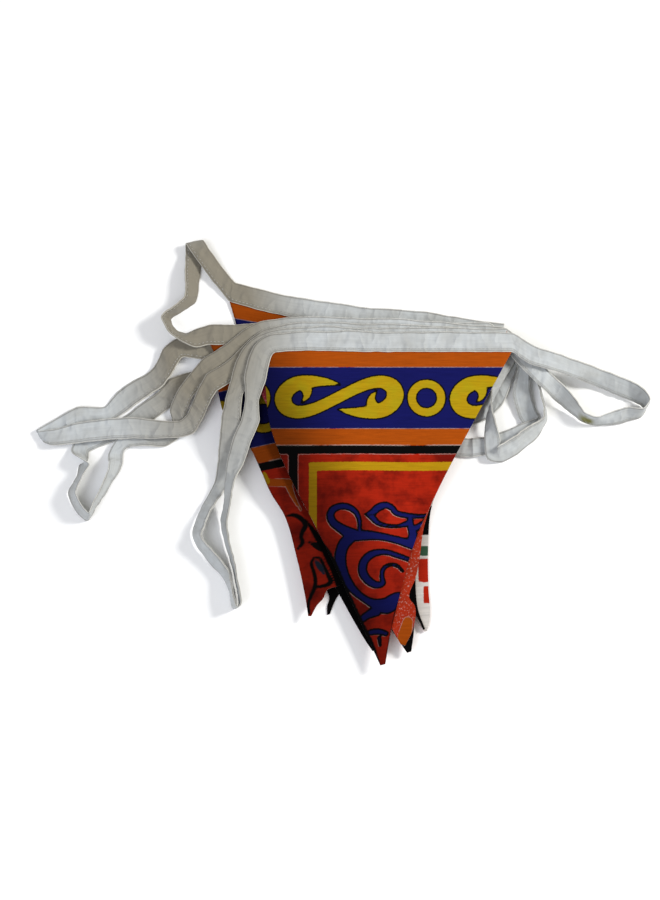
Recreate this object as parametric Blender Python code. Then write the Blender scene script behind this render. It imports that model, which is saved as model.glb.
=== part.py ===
"""String of printed cotton pennants, folded back and forth into a slightly fanned bundle.

Eight pennants hang from one folded tape. The pennants lie on each other on a table, and the tape
between them stands out in floppy loops at both sides. All sizes below are in millimetres, with
+X to the right, +Y towards the tape and +Z up, and the table at z = 0. The plan is drawn from a
point below the middle of the top pennant's tape. The part's origin lies PLAN_TO_ORIGIN from it, on
the underside of the lowest pennant, where that rests flat on the table.
"""

import math
from collections import namedtuple

import bmesh
import bpy
from mathutils import Vector

MM = 0.001
PLAN_TO_ORIGIN = Vector((0.0, -60.0, 0.0))

# The cloth
CLOTH_THICK = 1.0
SEAM_ALLOWANCE = 13.9  # cloth that is caught inside the folded tape
TAPE_WIDTH = 15.0
TAPE_LEAF = 0.5  # one side of the folded tape where it is open over a pennant
TAPE_SLOT = 1.6  # room between the two sides there
TAPE_FOLD = 0.7  # material at the tape's fold
TAPE_THICK = 1.2  # the folded tape between two pennants
PART_GAP = 0.3
LOOP_GAP = 0.45  # between the tape's end at a pennant and the loop that goes on from it
LOOP_INSET = 0.5  # of a loop's inner edge there, which keeps it off the pennant's side

# The stack: each level lies one pitch above the one below it
TAPE_HEIGHT = 2 * TAPE_LEAF + TAPE_SLOT
TAPE_PITCH = TAPE_HEIGHT + PART_GAP
TIP_PITCH = 1.5
PITCH_FALLS_FROM_Y = -60.0
PITCH_FALLS_TO_Y = -140.0
CLOTH_LIFT = TAPE_LEAF + PART_GAP  # of a pennant's underside above its tape's underside
BOTTOM_SETTLES = 14.0  # how far from its tape the lowest pennant has come down to the table
RIPPLE = 0.3  # of the cloth below the tapes, for each level
RIPPLE_SPACING = 80.0
RIPPLE_SLANT = 0.28
RIPPLE_GROWS_Y = (-70.0, -120.0)
RIPPLE_DIES_Y = (-180.0, -235.0)

# Where a pennant is cut across and down, as fractions of its heading and of its length
ACROSS = (0.0, 0.03, 0.06, 0.1, 0.14, 0.19, 0.25, 0.33, 0.43, 0.54, 0.66, 0.78, 0.9, 1.0)
DOWN = (0.035, 0.08, 0.14, 0.21, 0.29, 0.38, 0.47, 0.56, 0.66, 0.75, 0.81, 0.86, 0.9, 0.93, 0.965, 1.0)
STEPS_BETWEEN_RUNGS = 3
PLAN_LINE_STEPS = 8
SOFT_EDGE_ANGLE = 0.6  # in radians, over which an edge is shaded sharp
COTTON_ROUGHNESS = 0.88

# A pennant: its level from the table up, and the plan of its heading, which is the lower edge of
# its tape from left to right, and of its two sides, each from the heading to the tip
Pennant = namedtuple("Pennant", "name level heading left_side right_side colour")
RED, ORANGE, NAVY, WHITE, TAPE_WHITE = "#B3221A", "#D0560F", "#181A66", "#D5D5D0", "#C8CCCC"
PENNANTS = (
    Pennant("pennant_1", 0, ((-102.5, 21.5), (-72, 13), (-42, 7), (0, 2), (57, -4), (95, -10)),
            ((-96, -1), (-62, -137), (-45, -174), (-31.5, -193), (-30, -198), (-31.6, -204), (-31.6, -210)),
            ((48, -52), (24, -105), (-6, -170), (-22.5, -194), (-26.5, -201), (-29.6, -209.5)), ORANGE),
    Pennant("pennant_2", 1, ((-102, -37), (-60, -22), (0, -13), (96, -17)),
            ((-65, -86), (-15, -152), (37.6, -222.5)),
            ((76, -62), (51, -112), (43, -133), (40.8, -155), (40.6, -192), (41.6, -208), (41, -216),
             (39.2, -222)), WHITE),
    Pennant("pennant_3", 2, ((-107, -26), (-60, -19), (0, -13), (94, -15)),
            ((-70, -77), (-20, -146), (22, -199), (32, -212), (36.6, -221.5)),
            ((74, -61), (49, -112), (34, -148), (31.6, -176), (32, -200), (33.6, -209), (38, -221)), NAVY),
    Pennant("pennant_4", 3, ((-116, -13.5), (-97, -13), (0, -12), (86, -12)),
            ((-92, -62), (-53, -138), (-22.5, -197), (-4.4, -229.5), (0.6, -237)),
            ((62, -64), (38, -118), (15, -180), (2.8, -236.5)), ORANGE),
    Pennant("pennant_5", 4, ((-113, -37), (-95, -25), (-78, -12), (-58, -8), (0, -9), (96, -16)),
            ((-74, -92), (-24, -165), (25, -238.6)),
            ((76, -61), (51, -112), (34, -150), (28.5, -190), (30, -222), (28, -237.6)), NAVY),
    Pennant("pennant_6", 5, ((-110, -49), (-92, -37), (-73, -18), (-52, -13), (0, -14), (97, -20)),
            ((-106, -65), (-86.5, -91.5), (-79.5, -106), (-72, -123), (-62, -139.5), (-53, -171), (-47, -199),
             (-45, -212.5)),
            ((68, -68), (40, -112), (0, -168), (-22, -190), (-31.5, -193.5), (-34.4, -200), (-38.6, -204.5),
             (-42.8, -212.5)), RED),
    Pennant("pennant_7", 6, ((-85, -41.5), (-82, -32), (-76, -23), (-64, -19), (0, -18), (98, -18)),
            ((-53, -100), (-17, -166), (20.5, -233)),
            ((76, -63), (53, -108), (38, -146), (34, -172), (31.4, -185), (26.6, -199.5), (30.8, -206),
             (29.2, -222), (23.6, -234)), RED),
    Pennant("pennant_8", 7, ((-76, -45.5), (-74, -35.5), (-72.3, -28), (-70, -23), (-65, -22), (0, -22),
                             (101, -22)),
            ((-72, -78), (-33, -162), (6, -248.5)),
            ((74, -72), (47.5, -122), (34.5, -150), (26.5, -173), (19.5, -200), (14, -222), (9.5, -247.5)),
            RED),
)

# A rung of a loop of tape: the ends of a line across the tape, in the order of travel. The outer
# edge, ox oy oz, is the tape's fold, and the inner edge, ix iy iz, is the side the pennants are on
Rung = namedtuple("Rung", "ox oy oz ix iy iz")

# From the left end of pennant 1 up to a point, back down on edge and in to pennant 4
LOOP_UPPER_LEFT = (
    Rung(-107, 46, 3.5, -114, 35.5, 3),
    Rung(-116, 58, 6.5, -125, 50, 7),
    Rung(-121, 65.5, 7.5, -133, 61.5, 7.5),
    Rung(-122.5, 68, 5, -135, 65.5, 4.5),
    Rung(-122, 61.5, 2.5, -135, 59, 3.5),
    Rung(-124, 45, 1, -135, 42, 9),
    Rung(-127, 22, 1, -135, 23, 11),
    Rung(-136, 15, 1, -142, 15.5, 13.5),
    Rung(-145.5, 8.5, 1.5, -152, 7.5, 14.5),
    Rung(-142, 1, 3, -147, -4, 15),
    Rung(-134, -3.5, 6, -139, -10, 13),
    Rung(-126, -1, 9, -127, -16, 11),
)
# From pennant 3 out to the far left point, folded flat there, and back up to pennant 6
LOOP_FAR_LEFT = (
    Rung(-125, -9, 7, -124, -23, 7),
    Rung(-141, -7.5, 6.5, -136, -21.5, 6.5),
    Rung(-150, -14, 5, -140, -27, 7),
    Rung(-155, -25, 3, -144, -35, 7),
    Rung(-160, -31.5, 1.5, -152, -44.5, 6),
    Rung(-172, -38, 1, -163, -51, 3.5),
    Rung(-183, -46, 1, -176, -60.5, 1.5),
    Rung(-192, -57, 1, -188, -68, 1),
    Rung(-212, -58, 4, -210, -71, 1),
    Rung(-228, -67, 2.5, -222, -77, 1),
    Rung(-242, -76, 3, -236, -83.5, 2.5),
    Rung(-228, -75, 5.5, -230, -87, 5),
    Rung(-210, -70, 5.5, -212, -85.5, 5),
    Rung(-190, -67.5, 6.5, -190, -83, 5.5),
    Rung(-170, -66.5, 6.5, -170, -82, 5.5),
    Rung(-152, -69, 6.5, -153, -82, 5.5),
    Rung(-137, -69, 6.5, -136, -81, 5.5),
    Rung(-132.5, -65, 7, -127, -78, 6),
    Rung(-129, -58, 9, -121, -68, 8),
    Rung(-124, -47, 13, -115.5, -56, 12.5),
)
# From pennant 2 under the far left loop to the lower left ring, and back under it to pennant 5
LOOP_LOWER_LEFT = (
    Rung(-118, -29, 4, -118, -44, 4),
    Rung(-133, -32.5, 4, -133, -47, 3),
    Rung(-145, -36.5, 3.5, -140, -49.5, 2.5),
    Rung(-154, -47, 3, -143, -56.5, 2),
    Rung(-167, -56, 1.2, -157, -67, 1),
    Rung(-180, -66, 1, -171, -78, 1),
    Rung(-196, -73, 1, -190, -85, 1),
    Rung(-212, -80, 1, -203, -91, 1),
    Rung(-216, -90, 3, -203, -95, 1.5),
    Rung(-208, -98, 13, -204, -98, 1),
    Rung(-201, -102, 12, -209, -100, 1),
    Rung(-206, -111.5, 14, -211, -109, 1),
    Rung(-211, -124.5, 14.5, -217, -121, 1),
    Rung(-206, -133.5, 14, -212, -133, 1),
    Rung(-201.5, -138.5, 13.5, -204, -142, 1),
    Rung(-197, -127.5, 14, -195, -128, 1),
    Rung(-191, -113, 12, -187, -114, 1),
    Rung(-188, -101.5, 10, -179, -101, 1),
    Rung(-189, -93, 4, -178, -90, 1),
    Rung(-181, -79, 2.8, -173, -87, 2.8),
    Rung(-162, -72, 2.7, -160, -87, 2.7),
    Rung(-146, -73, 1, -148, -87, 1),
    Rung(-143, -68.5, 2, -138, -80.5, 1.5),
    Rung(-145, -60, 3.5, -134.5, -67, 3.5),
    Rung(-138, -45, 9, -128.5, -52, 9),
)
# From pennant 7 down to the low left ring and its point, and back up on edge to pennant 8
LOOP_LOW = (
    Rung(-104, -55, 20, -92, -53, 20),
    Rung(-107, -69.5, 19, -93.5, -69.5, 19),
    Rung(-108.5, -83.5, 14.5, -94.5, -83.5, 15.5),
    Rung(-110, -99, 7, -96, -99, 7.5),
    Rung(-112, -113, 2, -101, -114, 3.5),
    Rung(-116, -122, 1, -109, -126, 7),
    Rung(-123, -136, 1, -116, -141, 13),
    Rung(-128, -151, 1, -121, -155.5, 14),
    Rung(-124, -160, 1, -117, -161.5, 13.5),
    Rung(-114, -174, 1, -107.5, -171, 12),
    Rung(-105, -184, 1, -101.5, -180, 12),
    Rung(-100.5, -195, 1, -98.5, -193, 14),
    Rung(-98, -206, 1, -95.5, -206.5, 14.5),
    Rung(-94.5, -204, 1, -93, -206, 15),
    Rung(-96, -190, 1, -94.5, -191, 15.5),
    Rung(-100.5, -171, 1, -98, -173, 15.5),
    Rung(-106, -155, 1, -102, -158, 15),
    Rung(-108, -141, 1, -103, -145, 14.5),
    Rung(-105, -127, 6, -100, -129, 16),
    Rung(-105, -116, 10, -98, -116, 16),
    Rung(-103, -100.5, 11.5, -91, -101.5, 14),
    Rung(-99, -85, 18, -86, -87.5, 17.5),
    Rung(-93, -72, 20.5, -80, -73, 20),
    Rung(-90, -57, 22, -80.5, -58, 21.5),
)
# From pennant 8 far to the right, round on edge, and back to pennant 6
LOOP_FAR_RIGHT = (
    Rung(117, -17, 21, 113, -30, 20),
    Rung(132, -22, 20, 129, -34.5, 19),
    Rung(147, -26, 16, 144, -37.5, 12),
    Rung(166, -31.5, 10, 163, -43, 4),
    Rung(185, -39.5, 10, 183, -51, 2),
    Rung(196, -46, 12, 193, -55, 1.5),
    Rung(201, -55, 14, 198, -59, 1),
    Rung(196, -62, 14.5, 194, -65, 1),
    Rung(184, -60, 12.5, 184, -68, 1),
    Rung(173, -63.5, 12, 173, -71, 1),
    Rung(163, -68, 14, 163, -70.5, 1),
    Rung(155, -66, 15, 153, -68.5, 1.5),
    Rung(148, -56, 14.5, 143, -61, 2),
    Rung(140, -46, 15, 133.5, -54, 5),
    Rung(129, -36, 15.8, 123, -47, 15),
    Rung(117, -22, 16, 111, -35, 15.5),
)
# From pennant 5 down to a flat fold, along the table, under the bundle's edge and up to pennant 3
LOOP_RIGHT_INNER = (
    Rung(108, -10, 12.5, 102, -23, 12.5),
    Rung(114, -27, 11.5, 106, -30, 9.5),
    Rung(115, -45, 5, 102, -48, 4),
    Rung(118, -58, 2.5, 106.5, -65, 1.5),
    Rung(121.5, -65, 2.2, 113, -79, 2),
    Rung(110, -70, 4.8, 106, -84, 4.4),
    Rung(96, -76, 4, 97, -90, 3.5),
    Rung(83, -80, 3, 84, -93, 3),
    Rung(72, -81, 2, 72, -95, 2),
    Rung(63, -80, 1.2, 59, -93, 1.2),
    Rung(61, -77, 1.2, 51, -82, 1.2),
    Rung(64, -73, 1.2, 55, -64, 1.2),
    Rung(73, -71, 1.2, 70, -58, 1.2),
    Rung(85, -66, 2, 79, -53, 2),
    Rung(95, -56, 2.5, 86, -45, 2.5),
    Rung(101, -42, 4, 91, -36, 4),
    Rung(106, -28, 6, 96.5, -27, 6),
    Rung(108, -14, 7.1, 99, -22, 7.1),
)
# From pennant 2 round the outside on edge, and up a narrow twisted strip to pennant 4
LOOP_RIGHT_OUTER = (
    Rung(112, -10, 4.2, 106, -22, 4.2),
    Rung(118, -20, 3, 112, -28, 4),
    Rung(121, -31, 1, 118, -33, 12.5),
    Rung(123, -43, 1, 121, -44, 13),
    Rung(126.5, -58, 1, 124, -58, 14.5),
    Rung(127.5, -67, 1, 124, -69, 14),
    Rung(120, -80, 1, 113, -75, 13.5),
    Rung(105, -93, 1, 100, -84, 12.5),
    Rung(93, -99, 1, 90, -90, 12),
    Rung(83, -98, 5, 92, -88, 7.5),
    Rung(81.5, -86, 5.5, 93, -83, 7.5),
    Rung(82, -72, 5, 89, -72, 14),
    Rung(85, -60, 5, 86, -60, 18),
    Rung(91, -48, 6, 86, -49, 17),
    Rung(98, -36, 8, 90, -37, 13),
    Rung(104, -25, 9.5, 95, -28, 10.5),
    Rung(104, -12, 10, 96, -21, 10),
)
# A loop: the pennants and the sides of them that it joins
Loop = namedtuple("Loop", "name first first_side last last_side rungs")
LOOPS = (
    Loop("tape_loop_left_1", 1, "left", 4, "left", LOOP_UPPER_LEFT),
    Loop("tape_loop_left_2", 3, "left", 6, "left", LOOP_FAR_LEFT),
    Loop("tape_loop_left_3", 2, "left", 5, "left", LOOP_LOWER_LEFT),
    Loop("tape_loop_left_4", 7, "left", 8, "left", LOOP_LOW),
    Loop("tape_loop_right_1", 8, "right", 6, "right", LOOP_FAR_RIGHT),
    Loop("tape_loop_right_2", 5, "right", 3, "right", LOOP_RIGHT_INNER),
    Loop("tape_loop_right_3", 2, "right", 4, "right", LOOP_RIGHT_OUTER),
)


def blend(value, start, end):
    """0 at start, 1 at end, with a soft beginning and end."""
    part = min(max((value - start) / (end - start), 0.0), 1.0)
    return part * part * (3 - 2 * part)


def curve_through(before, start, end, after, part):
    """The point a part of the way from start to end on a smooth curve through four points."""
    near, far = max((start - before).length, 1e-6), max((after - end).length, 1e-6)
    span = max((end - start).length, 1e-6)
    leave = ((start - before) / near * span + (end - start)) * 0.5
    arrive = ((end - start) + (after - end) / far * span) * 0.5
    a, b = part * part, part * part * part
    place = start * (2 * b - 3 * a + 1) + end * (3 * a - 2 * b)
    return place + leave * (b - 2 * a + part) + arrive * (b - a)


def smoothed(points, steps):
    """The points with a smooth curve's points between them, the given number of steps for each."""
    ends = [points[0] * 2 - points[1], *points, points[-1] * 2 - points[-2]]
    curve = []
    for i in range(1, len(ends) - 2):
        curve += [curve_through(*ends[i - 1:i + 3], step / steps) for step in range(steps)]
    return curve + [points[-1]]


def along(points, fractions):
    """The points at the given fractions of the length of a line through the given points."""
    reach = [0.0]
    for a, b in zip(points, points[1:]):
        reach.append(reach[-1] + (b - a).length)
    found = []
    for fraction in fractions:
        target = fraction * reach[-1]
        i = max(j for j in range(len(points) - 1) if reach[j] <= target or j == 0)
        span = reach[i + 1] - reach[i]
        found.append(points[i].lerp(points[i + 1], (target - reach[i]) / span))
    return found


def plan_line(rows, fractions):
    """A smooth line in plan through the rows, read at the fractions of its length."""
    return along(smoothed([Vector(row) for row in rows], PLAN_LINE_STEPS), fractions)


def heading_frames(pennant):
    """For each cut across: the heading's point and the direction in plan that leads out to the fold."""
    points = plan_line(pennant.heading, ACROSS)
    frames = []
    for i, point in enumerate(points):
        tangent = points[min(i + 1, len(points) - 1)] - points[max(i - 1, 0)]
        frames.append((point, Vector((-tangent.y, tangent.x)).normalized()))
    return frames


def pennant_plan(pennant):
    """Rows of plan points, from the raw edge inside the tape to the tip."""
    frames = heading_frames(pennant)
    heading = [point for point, _ in frames]
    left = plan_line((pennant.heading[0], *pennant.left_side), DOWN)
    right = plan_line((pennant.heading[-1], *pennant.right_side), DOWN)
    rows = [[point + out * SEAM_ALLOWANCE for point, out in frames], heading]
    for t, start, end in zip(DOWN, left, right):
        row = []
        for s, point in zip(ACROSS, heading):
            bulge = point - heading[0].lerp(heading[-1], s)
            row.append(start.lerp(end, s) + bulge * (1 - t) ** 2)
        rows.append(row)
    return rows


def layer_pitch(y):
    return TAPE_PITCH + (TIP_PITCH - TAPE_PITCH) * blend(y, PITCH_FALLS_FROM_Y, PITCH_FALLS_TO_Y)


def ripple(x, y):
    """Soft folds that run down the cloth below the tapes. Never under 0, so no layer sinks."""
    fold = 0.5 - 0.5 * math.cos(2 * math.pi * (x + RIPPLE_SLANT * y) / RIPPLE_SPACING)
    return RIPPLE * fold * blend(y, *RIPPLE_GROWS_Y) * (1 - blend(y, *RIPPLE_DIES_Y))


def underside(pennant, x, y, from_tape):
    """Height of the underside of a pennant, at a distance below its tape."""
    if pennant.level == 0:
        return CLOTH_LIFT * (1 - blend(from_tape, 0, BOTTOM_SETTLES))
    lift = CLOTH_LIFT * (1 - blend(y, PITCH_FALLS_FROM_Y, PITCH_FALLS_TO_Y))
    return pennant.level * (layer_pitch(y) + ripple(x, y)) + lift


def new_cotton(name, colour):
    material = bpy.data.materials.new(name)
    material.use_nodes = True
    shader = material.node_tree.nodes["Principled BSDF"]
    channels = [int(colour[i:i + 2], 16) / 255 for i in (1, 3, 5)]
    shader.inputs["Base Color"].default_value = (*[channel ** 2.2 for channel in channels], 1)
    shader.inputs["Roughness"].default_value = COTTON_ROUGHNESS
    shader.inputs["Metallic"].default_value = 0.0
    return material


def new_object(name, bm, material):
    for vert in bm.verts:
        vert.co = (vert.co - PLAN_TO_ORIGIN) * MM
    bmesh.ops.recalc_face_normals(bm, faces=bm.faces)
    mesh = bpy.data.meshes.new(name)
    bm.to_mesh(mesh)
    bm.free()
    mesh.materials.append(material)
    mesh.set_sharp_from_angle(angle=SOFT_EDGE_ANGLE)
    obj = bpy.data.objects.new(name, mesh)
    bpy.context.scene.collection.objects.link(obj)
    return obj


def skin(bm, rings, closed):
    """Quads between the rings, and a face over each end ring if the rings are closed."""
    for ring, following in zip(rings, rings[1:]):
        count = len(ring)
        for i in range(count if closed else count - 1):
            j = (i + 1) % count
            bm.faces.new((ring[i], ring[j], following[j], following[i]))
    if closed:
        bm.faces.new(rings[0])
        bm.faces.new(reversed(rings[-1]))


def make_pennant(pennant):
    """A sheet of cloth of even thickness on the pennant's plan and heights."""
    bm = bmesh.new()
    plan = pennant_plan(pennant)
    heading = plan[1]
    sheets = []
    for rise in (0.0, CLOTH_THICK):
        rows = []
        for i, row in enumerate(plan):
            verts = []
            for j, point in enumerate(row):
                if i < 2:
                    height = pennant.level * TAPE_PITCH + CLOTH_LIFT
                else:
                    from_tape = (point - heading[j]).length
                    height = underside(pennant, point.x, point.y, from_tape)
                verts.append(bm.verts.new((point.x, point.y, height + rise)))
            rows.append(verts)
        sheets.append(rows)
    for rows in sheets:
        skin(bm, rows, closed=False)
    below, above = sheets
    rims = []
    for rows in (below, above):
        left = [row[0] for row in rows]
        right = [row[-1] for row in rows]
        rims.append(rows[0] + right[1:] + rows[-1][-2::-1] + left[-2:0:-1])
    skin(bm, [rims[0] + rims[0][:1], rims[1] + rims[1][:1]], closed=False)
    return new_object(pennant.name, bm, new_cotton(pennant.name + "_cotton", pennant.colour))


def make_heading(pennant, material):
    """The tape where it is folded over the pennant's upper edge, open towards the pennant."""
    bm = bmesh.new()
    base = pennant.level * TAPE_PITCH
    slot_end = TAPE_WIDTH - TAPE_FOLD
    slot_top = TAPE_HEIGHT - TAPE_LEAF
    section = (
        (0, 0), (TAPE_WIDTH, 0), (TAPE_WIDTH, TAPE_HEIGHT), (0, TAPE_HEIGHT),
        (0, slot_top), (slot_end, slot_top), (slot_end, TAPE_LEAF), (0, TAPE_LEAF),
    )
    rings = []
    for point, out in heading_frames(pennant):
        ring = []
        for reach, height in section:
            place = point + out * reach
            ring.append(bm.verts.new((place.x, place.y, base + height)))
        rings.append(ring)
    skin(bm, rings, closed=True)
    return new_object(f"tape_heading_{pennant.level + 1}", bm, material)


def end_rung(number, side):
    """The tape's end at one side of a pennant, moved out by the gap to a loop."""
    pennant = PENNANTS[number - 1]
    frames = heading_frames(pennant)
    point, out = frames[0] if side == "left" else frames[-1]
    away = Vector((-out.y, out.x)) if side == "left" else Vector((out.y, -out.x))
    outer = point + away * LOOP_GAP + out * TAPE_WIDTH
    inner = point + away * LOOP_GAP + out * LOOP_INSET
    height = pennant.level * TAPE_PITCH + TAPE_HEIGHT / 2
    return Rung(outer.x, outer.y, height, inner.x, inner.y, height)


def make_loop(loop, material):
    """The folded tape between two pennants, as a band that follows its rungs."""
    bm = bmesh.new()
    rungs = [end_rung(loop.first, loop.first_side), *loop.rungs, end_rung(loop.last, loop.last_side)]
    outer = smoothed([Vector(rung[:3]) for rung in rungs], STEPS_BETWEEN_RUNGS)
    inner = smoothed([Vector(rung[3:]) for rung in rungs], STEPS_BETWEEN_RUNGS)
    middles = [(a + b) / 2 for a, b in zip(outer, inner)]
    rings = []
    for i, (a, b) in enumerate(zip(outer, inner)):
        tangent = middles[min(i + 1, len(middles) - 1)] - middles[max(i - 1, 0)]
        half = (a - b).cross(tangent).normalized() * TAPE_THICK / 2
        rings.append([bm.verts.new(corner) for corner in (a + half, a - half, b - half, b + half)])
    skin(bm, rings, closed=True)
    return new_object(loop.name, bm, material)


def main():
    for obj in list(bpy.data.objects):
        bpy.data.objects.remove(obj)
    tape = new_cotton("tape_cotton", TAPE_WHITE)
    for pennant in PENNANTS:
        make_pennant(pennant)
        make_heading(pennant, tape)
    for loop in LOOPS:
        make_loop(loop, tape)


main()
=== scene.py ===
"""String of printed cotton pennants, folded back and forth into a fanned bundle: its looks.

The plan tables are the part's own, in millimetres on the table, and are turned into the frame's
metres by placed(). The script adds the printed pennants, the folded tape with its stitching, and
a plain table with soft light.
"""

import math
from collections import namedtuple

import bmesh
import bpy
import numpy as np
from bpy.props import FloatProperty, FloatVectorProperty, PointerProperty
from bpy.types import Operator, Panel, PropertyGroup
from mathutils import Matrix, Vector, noise


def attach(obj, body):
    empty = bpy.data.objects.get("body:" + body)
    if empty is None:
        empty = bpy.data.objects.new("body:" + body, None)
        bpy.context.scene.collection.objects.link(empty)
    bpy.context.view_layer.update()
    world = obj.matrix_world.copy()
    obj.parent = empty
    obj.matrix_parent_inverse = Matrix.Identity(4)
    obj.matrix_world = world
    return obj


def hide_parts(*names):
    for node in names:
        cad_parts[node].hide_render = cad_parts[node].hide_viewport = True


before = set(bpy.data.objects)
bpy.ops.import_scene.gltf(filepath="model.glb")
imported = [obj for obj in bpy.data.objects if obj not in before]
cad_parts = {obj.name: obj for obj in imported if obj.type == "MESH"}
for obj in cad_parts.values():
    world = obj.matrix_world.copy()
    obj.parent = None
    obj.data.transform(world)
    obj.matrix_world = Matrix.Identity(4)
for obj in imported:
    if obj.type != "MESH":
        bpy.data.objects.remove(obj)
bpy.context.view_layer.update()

bl_info = {
    "name": "Bunting pennants",
    "version": (1, 0, 0),
    "blender": (4, 5, 0),
    "location": "View3D > Sidebar > Bunting",
    "description": "A folded string of printed cotton pennants on a white tape",
    "category": "Object",
}

MM = 0.001
BODY = "root"
PLAN_TO_ORIGIN = Vector((0.0, -60.0, 0.0))

# Of the solids, in millimetres
CLOTH_THICK = 1.0
TAPE_WIDTH = 15.0
TAPE_PITCH = 2.9
TAPE_HEIGHT = 2.6
TIP_PITCH = 1.5
PITCH_FALLS_Y = (-60.0, -140.0)
CLOTH_LIFT = 0.8
BOTTOM_SETTLES = 14.0
RIPPLE = 0.3
RIPPLE_SPACING = 80.0
RIPPLE_SLANT = 0.28
RIPPLE_GROWS_Y = (-70.0, -120.0)
RIPPLE_DIES_Y = (-180.0, -235.0)


# Of the visible cloth, in millimetres
SEAM_ALLOWANCE = 12.6
SEAM_ROWS = 3
VISUAL_CLOTH = 0.4
LOOP_GAP = 0.45
LOOP_INSET = 0.5
STITCH_ACROSS = 0.15  # of the tape's width, from its open edge
STITCH_HALF_WIDTH = 0.19
STITCH_RISE = 0.09
STITCH_RUN = 40
WEAVE_PITCH = 0.0009  # in metres; the real threads are 0.35 mm apart, too fine to show
CRUMPLE = 0.013
CRUMPLE_DEPTH = 0.0055

# The meshes
FINE_GRID = (132, 150)
LOWER_GRID = (92, 104)
HEADING_STATIONS = 120
LOOP_STEPS = 12
FACETED = 0.6  # how far a loop bends at corners and not in one even curve
LEAF_LINES = (-1.0, -0.93, -0.85, -0.76, -0.6, -0.42, -0.24, -0.11, -0.04, 0.0,
              0.04, 0.11, 0.24, 0.42, 0.6, 0.76, 0.85, 0.93, 1.0)

# The stage
TABLE_HALF = 2.5
TABLE_DROP = 0.0003
SENSOR = 36.0
IMAGE_HEIGHT = 900
METRES_PER_PIXEL = 0.00072
VIEW_MIDDLE = Vector((-0.0295, -0.0291, 0.0))
# A grey spot of painted shade on the tape over the left loops: how it is stretched, its middle and its fade
SHADE_SPOT_STRETCH = (1.0, 0.55, 1.0)
SHADE_SPOT_MIDDLE = (-0.118, 0.034, 0.0)
SHADE_SPOT_FADES = (0.032, 0.084)
# How far in from the tape's edges its dark line of painted shade lies
EDGE_LINE = 0.001
STAIN_MIDDLE = (0.1555, -0.0065, 0.005)
STAIN_FADES = (0.005, 0.0095)
# Painted shade on the uppermost pennant, darker towards its left edge: its depth, the edge's slope and where it
# fades
EDGE_SHADE = 0.68
LEFT_EDGE_SLOPE = 0.458
SHADED_SIDE = (-99.0, -36.0)
AIR_COLOUR = "#F4F1EC"
AIR_STRENGTH = 0.42
Light = namedtuple("Light", "name power share size colour place")
LIGHTS = (
    Light("key_light", "key", 1.0, 0.4, "#FFFEFB", Vector((1.25, 0.35, 1.05))),
    Light("fill_light", "fill", 1.0, 1.4, "#EEF3FF", Vector((-0.9, -0.7, 1.3))),
)

# A pennant: its level from the table up, and the plan of its heading, which is the lower edge of
# its tape from left to right, and of its two sides, each from the heading to the tip
Pennant = namedtuple("Pennant", "name level heading left_side right_side colour")
RED, ORANGE, NAVY, WHITE, TAPE_WHITE = "#B3221A", "#D0560F", "#181A66", "#D5D5D0", "#C8CCCC"
PENNANTS = (
    Pennant("pennant_1", 0, ((-102.5, 21.5), (-72, 13), (-42, 7), (0, 2), (57, -4), (95, -10)),
            ((-96, -1), (-62, -137), (-45, -174), (-31.5, -193), (-30, -198), (-31.6, -204), (-31.6, -210)),
            ((48, -52), (24, -105), (-6, -170), (-22.5, -194), (-26.5, -201), (-29.6, -209.5)), ORANGE),
    Pennant("pennant_2", 1, ((-102, -37), (-60, -22), (0, -13), (96, -17)),
            ((-65, -86), (-15, -152), (37.6, -222.5)),
            ((76, -62), (51, -112), (43, -133), (40.8, -155), (40.6, -192), (41.6, -208), (41, -216),
             (39.2, -222)), WHITE),
    Pennant("pennant_3", 2, ((-107, -26), (-60, -19), (0, -13), (94, -15)),
            ((-70, -77), (-20, -146), (22, -199), (32, -212), (36.6, -221.5)),
            ((74, -61), (49, -112), (34, -148), (31.6, -176), (32, -200), (33.6, -209), (38, -221)), NAVY),
    Pennant("pennant_4", 3, ((-116, -13.5), (-97, -13), (0, -12), (86, -12)),
            ((-92, -62), (-53, -138), (-22.5, -197), (-4.4, -229.5), (0.6, -237)),
            ((62, -64), (38, -118), (15, -180), (2.8, -236.5)), ORANGE),
    Pennant("pennant_5", 4, ((-113, -37), (-95, -25), (-78, -12), (-58, -8), (0, -9), (96, -16)),
            ((-74, -92), (-24, -165), (25, -238.6)),
            ((76, -61), (51, -112), (34, -150), (28.5, -190), (30, -222), (28, -237.6)), NAVY),
    Pennant("pennant_6", 5, ((-110, -49), (-92, -37), (-73, -18), (-52, -13), (0, -14), (97, -20)),
            ((-106, -65), (-86.5, -91.5), (-79.5, -106), (-72, -123), (-62, -139.5), (-53, -171), (-47, -199),
             (-45, -212.5)),
            ((68, -68), (40, -112), (0, -168), (-22, -190), (-31.5, -193.5), (-34.4, -200), (-38.6, -204.5),
             (-42.8, -212.5)), RED),
    Pennant("pennant_7", 6, ((-85, -41.5), (-82, -32), (-76, -23), (-64, -19), (0, -18), (98, -18)),
            ((-53, -100), (-17, -166), (20.5, -233)),
            ((76, -63), (53, -108), (38, -146), (34, -172), (31.4, -185), (26.6, -199.5), (30.8, -206),
             (29.2, -222), (23.6, -234)), RED),
    Pennant("pennant_8", 7, ((-76, -45.5), (-74, -35.5), (-72.3, -28), (-70, -23), (-65, -22), (0, -22),
                             (101, -22)),
            ((-72, -78), (-33, -162), (6, -248.5)),
            ((74, -72), (47.5, -122), (34.5, -150), (26.5, -173), (19.5, -200), (14, -222), (9.5, -247.5)),
            RED),
)

# A rung of a loop of tape: the ends of a line across the tape, in the order of travel. The outer
# edge, ox oy oz, is the tape's fold, and the inner edge, ix iy iz, is the side the pennants are on
Rung = namedtuple("Rung", "ox oy oz ix iy iz")

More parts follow.
